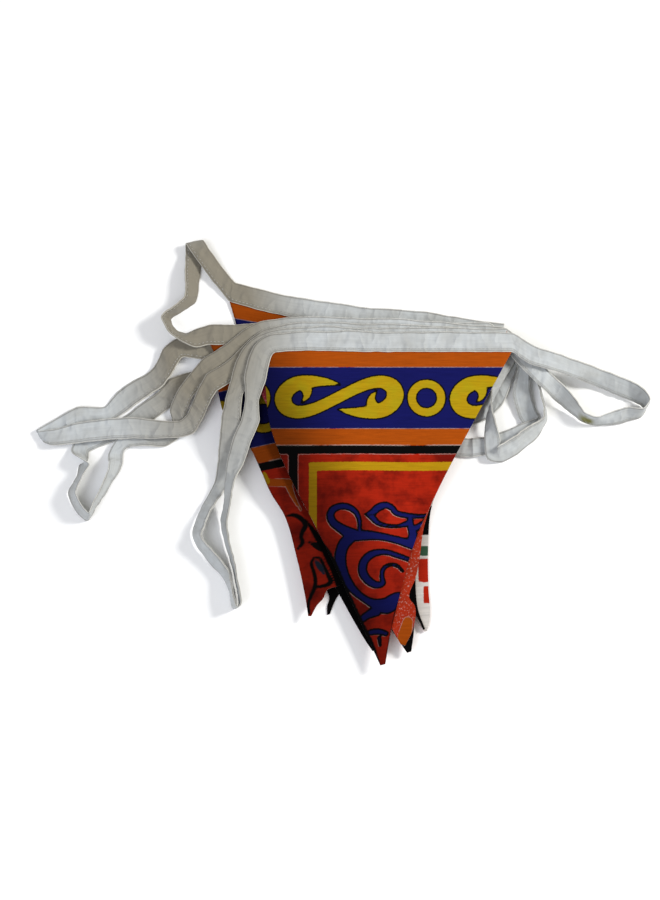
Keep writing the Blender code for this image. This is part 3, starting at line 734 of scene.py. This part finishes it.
def tape_frames(outer, inner):
    """The ruling across the tape, from its open edge to its fold, and the normal, at each station."""
    middle = (outer + inner) / 2
    tangent = np.empty_like(middle)
    tangent[1:-1] = middle[2:] - middle[:-2]
    tangent[0], tangent[-1] = middle[1] - middle[0], middle[-1] - middle[-2]
    return unit(outer - inner), unit(np.cross(outer - inner, tangent))


def leaf_gap(across, heading, along, side):
    """Half the room between the tape's two leaves, in millimetres: across is 0 at the open edge."""
    pinch = math.exp(-((across - STITCH_ACROSS) / 0.07) ** 2)
    fold = math.sqrt(max(1 - max((across - 0.9) / 0.1, 0) ** 2, 0))
    puff = noise.noise((along / 7, across * 2, side * 3.7))
    gather = noise.noise((along / 3.1, 5.5, side))
    over_cloth = 0.82 + 0.24 * puff + 0.12 * gather - 0.40 * pinch
    alone = 0.34 + 0.10 * puff - 0.12 * pinch
    return (heading * over_cloth + (1 - heading) * alone) * fold


def tape_surface(station, leaf, route, frames):
    """A point of the tape's middle surface. leaf runs from -1, one open edge, over 0, the fold."""
    outer, inner, heading, along = route
    ruling, normal = frames
    across, side = 1 - abs(leaf), math.copysign(1, leaf)
    length = along[station]
    gap = leaf_gap(across, heading[station], length, side)
    loose = 1 - heading[station]
    crease = 1 - 2.4 * abs(noise.noise((length / 6.5, across * 1.3, 6.0)))
    sway = loose * (0.8 * noise.noise((length / 15, across * 1.6, 2.0)) + 0.40 * crease
                    + 0.55 * (1 - across) * noise.noise((length / 6.5, 8.0, 1.0)))
    pucker = 1 - 2.4 * abs(noise.noise((length / 3.6 + across * 1.5, across * 0.8, 3.0)))
    gap += heading[station] * 0.16 * pucker * (1 - across)
    edge = 0.35 * noise.noise((length / 8, 4.0, across * 2)) + 1.6 * heading[station] * across * noise.noise(
        (length / 24, 9.0, 0.5))
    place = inner[station] * (1 - across) + outer[station] * across
    place = place + ruling[station] * edge + normal[station] * (side * gap + sway)
    return place


def hold_above(place, least):
    return placed(place[0], place[1], max(place[2], least))


def tape_cloth(route, frames, leaf_thickness):
    """The folded tape in one piece: a long grid bent over its fold."""
    stations = len(route[3])
    bm = bmesh.new()
    bmesh.ops.create_grid(bm, x_segments=stations - 1, y_segments=len(LEAF_LINES) - 1, size=0.5)
    layer = bm.loops.layers.uv.new("threads")
    cells = {}
    for vert in bm.verts:
        station = round((vert.co.x + 0.5) * (stations - 1))
        line = LEAF_LINES[round((vert.co.y + 0.5) * (len(LEAF_LINES) - 1))]
        cells[vert.index] = (route[3][station] * MM, line * TAPE_WIDTH * MM)
        vert.co = hold_above(tape_surface(station, line, route, frames), leaf_thickness / 2)
    for face in bm.faces:
        for loop in face.loops:
            loop[layer].uv = cells[loop.vert.index]
    return clear_mesh(bm, "folded_tape")


def stitching(route, frames, leaf_thickness, length, spacing):
    """Small stitches along both sides of the tape, each a short spindle pressed into the cloth."""
    whole = bmesh.new()
    along = route[3]
    seam = [(side, reach) for side in (-1, 1) for reach in np.arange(spacing, along[-1] - spacing, spacing)]
    # In short runs, because adding to a long mesh is slow
    for start in range(0, len(seam), STITCH_RUN):
        bm = bmesh.new()
        for side, reach in seam[start:start + STITCH_RUN]:
            station = int(np.searchsorted(along, reach))
            leaf = side * (1 - STITCH_ACROSS)
            before = tape_surface(station - 1, leaf, route, frames)
            after = tape_surface(station, leaf, route, frames)
            run = Vector(unit(after - before))
            up = Vector(frames[1][station]) * side
            turn = Matrix((run, up.cross(run), up)).transposed()
            place = (before + after) / 2 + np.array(up) * (leaf_thickness / 2 + STITCH_RISE)
            size = Matrix.Diagonal((length / 2, STITCH_HALF_WIDTH, STITCH_RISE * 1.6))
            matrix = Matrix.Translation(placed(*place)) @ (turn @ size).to_4x4() @ Matrix.Scale(MM, 4)
            bmesh.ops.create_uvsphere(bm, u_segments=6, v_segments=4, radius=1.0, matrix=matrix)
        run_mesh = bpy.data.meshes.new("stitches")
        bm.to_mesh(run_mesh)
        bm.free()
        whole.from_mesh(run_mesh)
        bpy.data.meshes.remove(run_mesh)
    return clear_mesh(whole, "tape_stitching")


# Materials

def to_linear(code):
    """An sRGB hex colour as linear channels with alpha."""
    channels = [int(code[i:i + 2], 16) / 255 for i in (1, 3, 5)]
    return (*[c / 12.92 if c <= 0.04045 else ((c + 0.055) / 1.055) ** 2.4 for c in channels], 1.0)


def add_node(tree, kind, inputs=None, **settings):
    """Adds a node with its settings. An input takes a value, or another node's output to link."""
    node = tree.nodes.new(kind)
    for name, value in settings.items():
        setattr(node, name, value)
    for socket, value in (inputs or {}).items():
        if isinstance(value, bpy.types.NodeSocket):
            tree.links.new(value, node.inputs[socket])
        else:
            node.inputs[socket].default_value = value
    return node


def maths(tree, operation, a, b=0.0, c=0.0):
    return add_node(tree, "ShaderNodeMath", {0: a, 1: b, 2: c}, operation=operation).outputs[0]


def mix(tree, share, a, b, blend_type="MIX"):
    node = add_node(tree, "ShaderNodeMix", {0: share, 6: a, 7: b}, data_type="RGBA", blend_type=blend_type)
    return node.outputs[2]


def grain(tree, place, size, detail=2.0, roughness=0.5):
    """Noise whose blobs are about the given size, in metres, from 0 to 1."""
    inputs = {"Vector": place, "Scale": 1 / size, "Detail": detail, "Roughness": roughness}
    return add_node(tree, "ShaderNodeTexNoise", inputs).outputs[0]


def edge(tree, value, low, high):
    """1 where the value is under low, 0 where it is over high."""
    inputs = {"Value": value, "From Min": low, "From Max": high, "To Min": 1.0, "To Max": 0.0}
    return add_node(tree, "ShaderNodeMapRange", inputs).outputs[0]


def new_material(name, roughness, sheen, gloss=0.12):
    material = bpy.data.materials.new(name)
    material.use_nodes = True
    tree = material.node_tree
    shader = tree.nodes["Principled BSDF"]
    shader.inputs["Roughness"].default_value = roughness
    shader.inputs["Sheen Weight"].default_value = sheen
    shader.inputs["Sheen Roughness"].default_value = 0.6
    shader.inputs["Specular IOR Level"].default_value = gloss
    return material, tree, shader


def weave(tree, threads, pitch):
    """Height of a plain weave whose threads lie a pitch apart, with slubs, from 0 to 1."""
    split = add_node(tree, "ShaderNodeSeparateXYZ", {0: threads})
    rows = []
    for axis in (0, 1):
        turns = maths(tree, "MULTIPLY", split.outputs[axis], 2 * math.pi / pitch)
        rows.append(maths(tree, "SINE", turns))
    over = maths(tree, "MULTIPLY_ADD", maths(tree, "MULTIPLY", rows[0], rows[1]), 0.5, 0.5)
    slubs = add_node(tree, "ShaderNodeMapping", {"Vector": threads, "Scale": (1.0, 9.0, 1.0)}).outputs[0]
    thick = grain(tree, slubs, 0.009, 3.0)
    return maths(tree, "MULTIPLY_ADD", thick, 0.8, maths(tree, "MULTIPLY", over, 0.5))


def printed_colour(tree, kind, threads, colours):
    """The print's inks, laid over each other in the printer's order."""
    wobble = maths(tree, "SUBTRACT", grain(tree, threads, 0.0016, 2.0), 0.5)
    distance = {}
    for ink in INKS:
        value = add_node(tree, "ShaderNodeAttribute", attribute_name=ink).outputs["Fac"]
        distance[ink] = maths(tree, "MULTIPLY_ADD", wobble, 0.9, value)
    if kind == "blocks":
        colour = colours["white"]
        for ink in ("green", "red", "black"):
            colour = mix(tree, edge(tree, distance[ink], -0.25, 0.25), colour, colours[ink])
        return colour
    smudge = grain(tree, threads, 0.022, 4.0, 0.62)
    red = mix(tree, edge(tree, smudge, 0.36, 0.56), colours["red"], colours["dark_red"])
    colour = mix(tree, edge(tree, distance["orange"], -0.2, 0.2), red, colours["orange"])
    colour = mix(tree, edge(tree, distance["navy"], -0.2, 0.2), colour, colours["navy"])
    colour = mix(tree, edge(tree, distance["black"], -0.2, 0.2), colour, colours["black"])
    # A thin bare line where the navy and black screens miss the colour beside them
    for ink, low in (("orange", 0.1), ("black", 0.35)):
        gap = maths(tree, "ABSOLUTE", maths(tree, "SUBTRACT", distance[ink], low))
        bare = maths(tree, "MULTIPLY", edge(tree, gap, 0.05, 0.35), edge(tree, smudge, 0.5, 0.62))
        colour = mix(tree, maths(tree, "MULTIPLY", bare, 0.3), colour, colours["bare"])
    colour = mix(tree, edge(tree, distance["frame"], -0.2, 0.2), colour, colours["mustard"])
    colour = mix(tree, edge(tree, distance["yellow"], 0.75, 1.15), colour, colours["black"])
    aged = grain(tree, threads, 0.012, 3.0)
    yellow = mix(tree, edge(tree, aged, 0.4, 0.62), colours["yellow"], colours["amber"])
    colour = mix(tree, edge(tree, distance["yellow"], -0.3, 0.15), colour, yellow)
    colour = mix(tree, maths(tree, "MULTIPLY", edge(tree, distance["lift"], -0.4, 0.0), 0.4), colour,
                 colours["bare"])
    colour = mix(tree, edge(tree, distance["scroll"], 0.3, 0.8), colour, colours["black"])
    colour = mix(tree, edge(tree, distance["scroll"], -1.0, -0.4), colour, colours["blue"])
    # The shadow strokes in black: print, and painted shade along the pennants' edges
    colour = mix(tree, edge(tree, distance["shadow"], -0.5, 0.5), colour, colours["black"])
    return mix(tree, edge(tree, distance["slate"], -0.6, 0.4), colour, colours["slate"])


def printed_cotton(kind, colours, reverse=False):
    """Plain-woven cotton, screen printed on one side.

    The eye sees flat inks with slightly bled edges, thread slubs that run across, and a matte
    face. On the reverse the inks come through paler, broken by the white threads.
    """
    name = "printed_cotton_" + kind + ("_reverse" if reverse else "_face")
    material, tree, shader = new_material(name, 0.8, 0.0, 0.03)
    threads = add_node(tree, "ShaderNodeUVMap", uv_map="threads").outputs[0]
    colour = printed_colour(tree, kind, threads, colours)
    slubs = add_node(tree, "ShaderNodeMapping", {"Vector": threads, "Scale": (1.0, 14.0, 1.0)}).outputs[0]
    tone = grain(tree, slubs, 0.016, 4.0, 0.7)
    tone = add_node(tree, "ShaderNodeMapRange", {"Value": tone, "From Min": 0.25, "From Max": 0.75,
                                                 "To Min": 0.78, "To Max": 1.18}).outputs[0]
    # Painted shade, stored on each pennant, darkens the print
    soil = add_node(tree, "ShaderNodeAttribute", attribute_name="soil").outputs["Fac"]
    tone = maths(tree, "MULTIPLY", tone, maths(tree, "SUBTRACT", 1.0, soil))
    grey = add_node(tree, "ShaderNodeCombineColor", {0: tone, 1: tone, 2: tone}).outputs[0]
    colour = mix(tree, 1.0, colour, grey, "MULTIPLY")
    if reverse:
        specks = edge(tree, grain(tree, threads, 0.0016, 3.0, 0.7), 0.32, 0.44)
        flap = add_node(tree, "ShaderNodeAttribute", attribute_name="orange").outputs["Fac"]
        inked = edge(tree, maths(tree, "MULTIPLY", flap, -1.0), -0.6, 0.0)
        colour = mix(tree, maths(tree, "MULTIPLY", inked, 0.6), colour, to_linear("#9A2E15"))
        colour = mix(tree, maths(tree, "MULTIPLY", maths(tree, "MULTIPLY", specks, inked), 0.34), colour,
                     colours["bare"])
    tree.links.new(colour, shader.inputs["Base Color"])
    height = weave(tree, threads, WEAVE_PITCH)
    bump = add_node(tree, "ShaderNodeBump", {"Height": height, "Strength": 0.55, "Distance": 0.00012})
    tree.links.new(bump.outputs[0], shader.inputs["Normal"])
    return material


def cut_threads(colours):
    """The raw cut edge of the pennants: white thread ends, slightly stained by the inks, and black
    under the shadow strokes, which are in part painted shade.
    """
    material, tree, shader = new_material("cut_cotton_threads", 0.9, 0.1)
    threads = add_node(tree, "ShaderNodeUVMap", uv_map="threads").outputs[0]
    stain = edge(tree, grain(tree, threads, 0.004, 2.0), 0.42, 0.6)
    colour = mix(tree, stain, colours["bare"], to_linear("#8A5F50"))
    # The rim turns black under the shadow strokes, which are in part painted shade
    inked = add_node(tree, "ShaderNodeAttribute", attribute_name="shadow").outputs["Fac"]
    colour = mix(tree, edge(tree, inked, 0.5, 3.0), colour, colours["black"])
    tree.links.new(colour, shader.inputs["Base Color"])
    return material


def bleached_tape():
    """Bleached plain-woven cotton tape, pressed in half and stitched.

    The eye sees a matte, slightly see-through white with fine threads along it and grey patches of
    random tone. Painted on it: a pale highlight at the fold and the open edges, a dark line of painted
    shade inside it, painted shade in the groove along the stitching, and a grey spot of painted shade
    over the left loops.
    """
    material, tree, shader = new_material("bleached_cotton_tape", 0.85, 0.2)
    threads = add_node(tree, "ShaderNodeUVMap", uv_map="threads").outputs[0]
    place = add_node(tree, "ShaderNodeTexCoord").outputs["Object"]
    white, grime_and_shade = to_linear("#B8BCBD"), to_linear("#807A6C")
    patches = edge(tree, grain(tree, place, 0.02, 4.0, 0.6), 0.34, 0.64)
    # Painted shade: a grey spot over the left loops, taken together with random grey patches
    long_place = add_node(tree, "ShaderNodeVectorMath", {0: place, 1: SHADE_SPOT_STRETCH}, operation="MULTIPLY")
    from_shade_spot = add_node(tree, "ShaderNodeVectorMath", {0: long_place.outputs[0], 1: SHADE_SPOT_MIDDLE},
                         operation="DISTANCE")
    painted_shade_spot = edge(tree, from_shade_spot.outputs["Value"], *SHADE_SPOT_FADES)
    grime_and_shade_share = maths(tree, "MAXIMUM", maths(tree, "MULTIPLY", patches, 0.32), painted_shade_spot)
    colour = mix(tree, grime_and_shade_share, white, grime_and_shade)
    from_stain = add_node(tree, "ShaderNodeVectorMath", {0: place, 1: STAIN_MIDDLE}, operation="DISTANCE")
    ragged = maths(tree, "MULTIPLY_ADD", grain(tree, place, 0.006, 3.0), 0.004, from_stain.outputs["Value"])
    colour = mix(tree, edge(tree, ragged, *STAIN_FADES), colour, to_linear("#66651F"))
    # Painted highlight: a pale rim at the fold and at the open edges. Painted shade: a dark line
    # inside it, and a darker groove at the seam
    across = maths(tree, "ABSOLUTE", add_node(tree, "ShaderNodeSeparateXYZ", {0: threads}).outputs[1])
    open_edge = maths(tree, "SUBTRACT", TAPE_WIDTH * MM, across)
    seam = maths(tree, "ABSOLUTE", maths(tree, "SUBTRACT", open_edge, STITCH_ACROSS * TAPE_WIDTH * MM))
    lines = []
    for reach in (across, open_edge):
        beside = maths(tree, "ABSOLUTE", maths(tree, "SUBTRACT", reach, EDGE_LINE))
        lines.append(edge(tree, beside, 0.0002, 0.0006))
    lines = maths(tree, "MAXIMUM", *lines)
    lines = maths(tree, "MAXIMUM", lines, maths(tree, "MULTIPLY", edge(tree, seam, 0.0002, 0.0007), 0.6))
    # Painted shade: the dark lines beside the edges and along the seam
    colour = mix(tree, maths(tree, "MULTIPLY", lines, 0.5), colour, to_linear("#5F5A50"))
    # Painted highlight: the pale rim at the fold and the open edges
    rim = maths(tree, "MINIMUM", across, open_edge)
    colour = mix(tree, maths(tree, "MULTIPLY", edge(tree, rim, 0.0003, 0.0005), 0.6), colour,
                 to_linear("#D6D2C6"))
    lines = add_node(tree, "ShaderNodeMapping", {"Vector": threads, "Scale": (1.0, 22.0, 1.0)}).outputs[0]
    tone = add_node(tree, "ShaderNodeMapRange", {"Value": grain(tree, lines, 0.03, 4.0, 0.7), "From Min": 0.3,
                                                 "From Max": 0.7, "To Min": 0.90, "To Max": 1.04}).outputs[0]
    grey = add_node(tree, "ShaderNodeCombineColor", {0: tone, 1: tone, 2: tone}).outputs[0]
    colour = mix(tree, 1.0, colour, grey, "MULTIPLY")
    tree.links.new(colour, shader.inputs["Base Color"])
    # Crumples of limp cloth, sharp along their ridges, under the weave
    warped = add_node(tree, "ShaderNodeMapping", {"Vector": threads, "Scale": (1.0, 0.6, 1.0)}).outputs[0]
    fold = maths(tree, "SUBTRACT", grain(tree, warped, CRUMPLE, 2.0, 0.45), 0.5)
    ridge = maths(tree, "MULTIPLY", maths(tree, "ABSOLUTE", fold), -1.0)
    crumpled = add_node(tree, "ShaderNodeBump", {"Height": ridge, "Strength": 0.9, "Distance": CRUMPLE_DEPTH})
    height = weave(tree, threads, WEAVE_PITCH)
    bump = add_node(tree, "ShaderNodeBump", {"Height": height, "Strength": 0.45, "Distance": 0.0001,
                                             "Normal": crumpled.outputs[0]})
    tree.links.new(bump.outputs[0], shader.inputs["Normal"])
    return material


def sewing_thread():
    """Spun polyester sewing thread, white, a little glossier than the tape."""
    material, tree, shader = new_material("sewing_thread", 0.6, 0.1)
    place = add_node(tree, "ShaderNodeTexCoord").outputs["Object"]
    twist = grain(tree, place, 0.0008, 2.0)
    colour = mix(tree, edge(tree, twist, 0.4, 0.6), to_linear("#B4B3AD"), to_linear("#9C9B95"))
    tree.links.new(colour, shader.inputs["Base Color"])
    return material


def table_top():
    """A plain pale sheet of matte card under the string."""
    material, tree, shader = new_material("matte_white_card", 0.9, 0.0)
    place = add_node(tree, "ShaderNodeTexCoord").outputs["Object"]
    mottle = edge(tree, grain(tree, place, 0.3, 2.0), 0.4, 0.6)
    tree.links.new(mix(tree, mottle, to_linear("#FBFBFA"), to_linear("#F8F8F7")), shader.inputs["Base Color"])
    return material


# The add-on

def colour_property(name, description, code):
    return FloatVectorProperty(name=name, description=description, subtype="COLOR", size=4, min=0.0, max=1.0,
                               default=to_linear(code))


class BuntingSizes(PropertyGroup):
    cloth: FloatProperty(name="Cloth thickness", description="Of the printed cotton", default=0.0004,
                         min=0.0001, unit="LENGTH")
    leaf: FloatProperty(name="Tape leaf", description="Thickness of one leaf of the folded tape",
                        default=0.0003, min=0.0001, unit="LENGTH")
    stitch: FloatProperty(name="Stitch length", description="Of one stitch that shows", default=0.0021,
                          min=0.001, unit="LENGTH")
    stitch_spacing: FloatProperty(name="Stitch spacing", description="From one stitch to the next",
                                  default=0.0029, min=0.001, unit="LENGTH")
    tape_step: FloatProperty(name="Tape step", description="Between two lines across the tape's mesh",
                             default=0.0014, min=0.001, unit="LENGTH")


class BuntingInks(PropertyGroup):
    red: colour_property("Red", "The field of the print", "#9C200D")
    dark_red: colour_property("Dark red", "Where the field is overprinted", "#6C1208")
    orange: colour_property("Orange", "The bands", "#9C450A")
    navy: colour_property("Navy", "The scroll band", "#121450")
    blue: colour_property("Blue", "The scrollwork of the field", "#11144F")
    black: colour_property("Black", "Outlines and bars", "#070606")
    yellow: colour_property("Yellow", "The scrolls", "#9F8A11")
    amber: colour_property("Amber", "Where the yellow is thick", "#A4840E")
    mustard: colour_property("Mustard", "The frame line", "#A67F0E")
    slate: colour_property("Slate", "A worn patch of the scrollwork", "#1B2433")
    green: colour_property("Green", "Blocks on the second print", "#324F3B")
    white: colour_property("White", "Ground of the second print", "#BEB9B3")
    bare: colour_property("Bare cotton", "Cloth with no ink", "#D8CFC4")


class BuntingStudio(PropertyGroup):
    key: FloatProperty(name="Key light", description="Power of the large soft light", default=26.0,
                       min=0.0, unit="POWER")
    fill: FloatProperty(name="Fill light", description="Power of the light across from it", default=19.0,
                        min=0.0, unit="POWER")
    distance: FloatProperty(name="Camera distance", description="From the middle of the view",
                            default=2.4, min=0.5, unit="LENGTH")
    elevation: FloatProperty(name="Camera elevation", description="Above the table",
                             default=math.radians(76), subtype="ANGLE", unit="ROTATION")


class BUNTING_OT_pennants(Operator):
    """Lays the eight printed pennants, each in the place of its solid"""

    bl_idname = "bunting.add_pennants"
    bl_label = "Add pennants"

    def execute(self, context):
        sizes, inks = context.scene.bunting_sizes, context.scene.bunting_inks
        colours = {name: tuple(getattr(inks, name)) for name in inks.__annotations__}
        faces = {kind: printed_cotton(kind, colours) for kind in PRINT_BOXES}
        backs = {kind: printed_cotton(kind, colours, True) for kind in PRINT_BOXES}
        rim = cut_threads(colours)
        for pennant, place in zip(PENNANTS, PRINT_PLACES):
            columns, rows = FINE_GRID if pennant.level == len(PENNANTS) - 1 else LOWER_GRID
            obj, x, y = pennant_cloth(pennant, columns, rows)
            write_print(obj, place, x, y)
            up, down = faces[place.kind], backs[place.kind]
            if place.face_down:
                up, down = down, up
            for material in (up, down, rim):
                obj.data.materials.append(material)
            thicken(obj, sizes.cloth, 1, 2)
            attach(obj, BODY)
            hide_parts(pennant.name)
        return {"FINISHED"}


class BUNTING_OT_tape(Operator):
    """Runs the one folded tape over all the pennants and round all its loops, and stitches it"""

    bl_idname = "bunting.add_tape"
    bl_label = "Add tape and stitching"

    def execute(self, context):
        sizes = context.scene.bunting_sizes
        route = tape_route(sizes.tape_step / MM)
        frames = tape_frames(route[0], route[1])
        leaf = sizes.leaf / MM
        tape = tape_cloth(route, frames, leaf)
        tape.data.materials.append(bleached_tape())
        thicken(tape, sizes.leaf, 0, 0)
        thread = stitching(route, frames, leaf, sizes.stitch / MM, sizes.stitch_spacing / MM)
        thread.data.materials.append(sewing_thread())
        for piece in (tape, thread):
            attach(piece, BODY)
        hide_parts(*[f"tape_heading_{i}" for i in range(1, 9)], *[loop.name for loop in LOOPS])
        return {"FINISHED"}


class BUNTING_OT_stage(Operator):
    """Adds the pale table, the soft lights and the camera"""

    bl_idname = "bunting.add_stage"
    bl_label = "Add stage"

    def execute(self, context):
        studio = context.scene.bunting_studio
        bm = bmesh.new()
        bmesh.ops.create_grid(bm, x_segments=1, y_segments=1, size=TABLE_HALF)
        bmesh.ops.translate(bm, verts=bm.verts, vec=(0, 0, -TABLE_DROP))
        table = clear_mesh(bm, "table_top")
        table.data.materials.append(table_top())
        for light in LIGHTS:
            data = bpy.data.lights.new(light.name, "AREA")
            data.size = light.size
            data.color = to_linear(light.colour)[:3]
            data.energy = getattr(studio, light.power) * light.share
            lamp = bpy.data.objects.new(light.name, data)
            lamp.location = light.place
            lamp.rotation_euler = (VIEW_MIDDLE - lamp.location).to_track_quat("-Z", "Y").to_euler()
            context.scene.collection.objects.link(lamp)
        world = bpy.data.worlds.new("studio_air")
        world.use_nodes = True
        world.node_tree.nodes["Background"].inputs["Color"].default_value = to_linear(AIR_COLOUR)
        world.node_tree.nodes["Background"].inputs["Strength"].default_value = AIR_STRENGTH
        context.scene.world = world
        context.scene.view_settings.view_transform = "Standard"
        data = bpy.data.cameras.new("camera")
        data.sensor_width = SENSOR
        data.lens = SENSOR * studio.distance / (IMAGE_HEIGHT * METRES_PER_PIXEL)
        camera = bpy.data.objects.new("camera", data)
        away = Vector((0, -math.cos(studio.elevation), math.sin(studio.elevation)))
        camera.location = VIEW_MIDDLE + away * studio.distance
        camera.rotation_euler = (math.pi / 2 - studio.elevation, 0, 0)
        context.scene.collection.objects.link(camera)
        context.scene.camera = camera
        return {"FINISHED"}


class BUNTING_PT_panel(Panel):
    """The pieces of the bunting, in the order in which they are made"""

    bl_label = "Bunting pennants"
    bl_idname = "BUNTING_PT_panel"
    bl_space_type = "VIEW_3D"
    bl_region_type = "UI"
    bl_category = "Bunting"

    def draw(self, context):
        for group in (context.scene.bunting_sizes, context.scene.bunting_inks, context.scene.bunting_studio):
            for name in group.__annotations__:
                self.layout.prop(group, name)
        for operator in OPERATORS:
            self.layout.operator(operator.bl_idname)


OPERATORS = (BUNTING_OT_pennants, BUNTING_OT_tape, BUNTING_OT_stage)
GROUPS = {"bunting_sizes": BuntingSizes, "bunting_inks": BuntingInks, "bunting_studio": BuntingStudio}


def register():
    for kind in (*GROUPS.values(), *OPERATORS, BUNTING_PT_panel):
        bpy.utils.register_class(kind)
    for name, kind in GROUPS.items():
        setattr(bpy.types.Scene, name, PointerProperty(type=kind))


def unregister():
    for name in GROUPS:
        delattr(bpy.types.Scene, name)
    for kind in (BUNTING_PT_panel, *reversed(OPERATORS), *reversed(GROUPS.values())):
        bpy.utils.unregister_class(kind)


def main():
    register()
    bpy.ops.bunting.add_stage()
    bpy.ops.bunting.add_pennants()
    bpy.ops.bunting.add_tape()


if __name__ == "__main__":
    main()
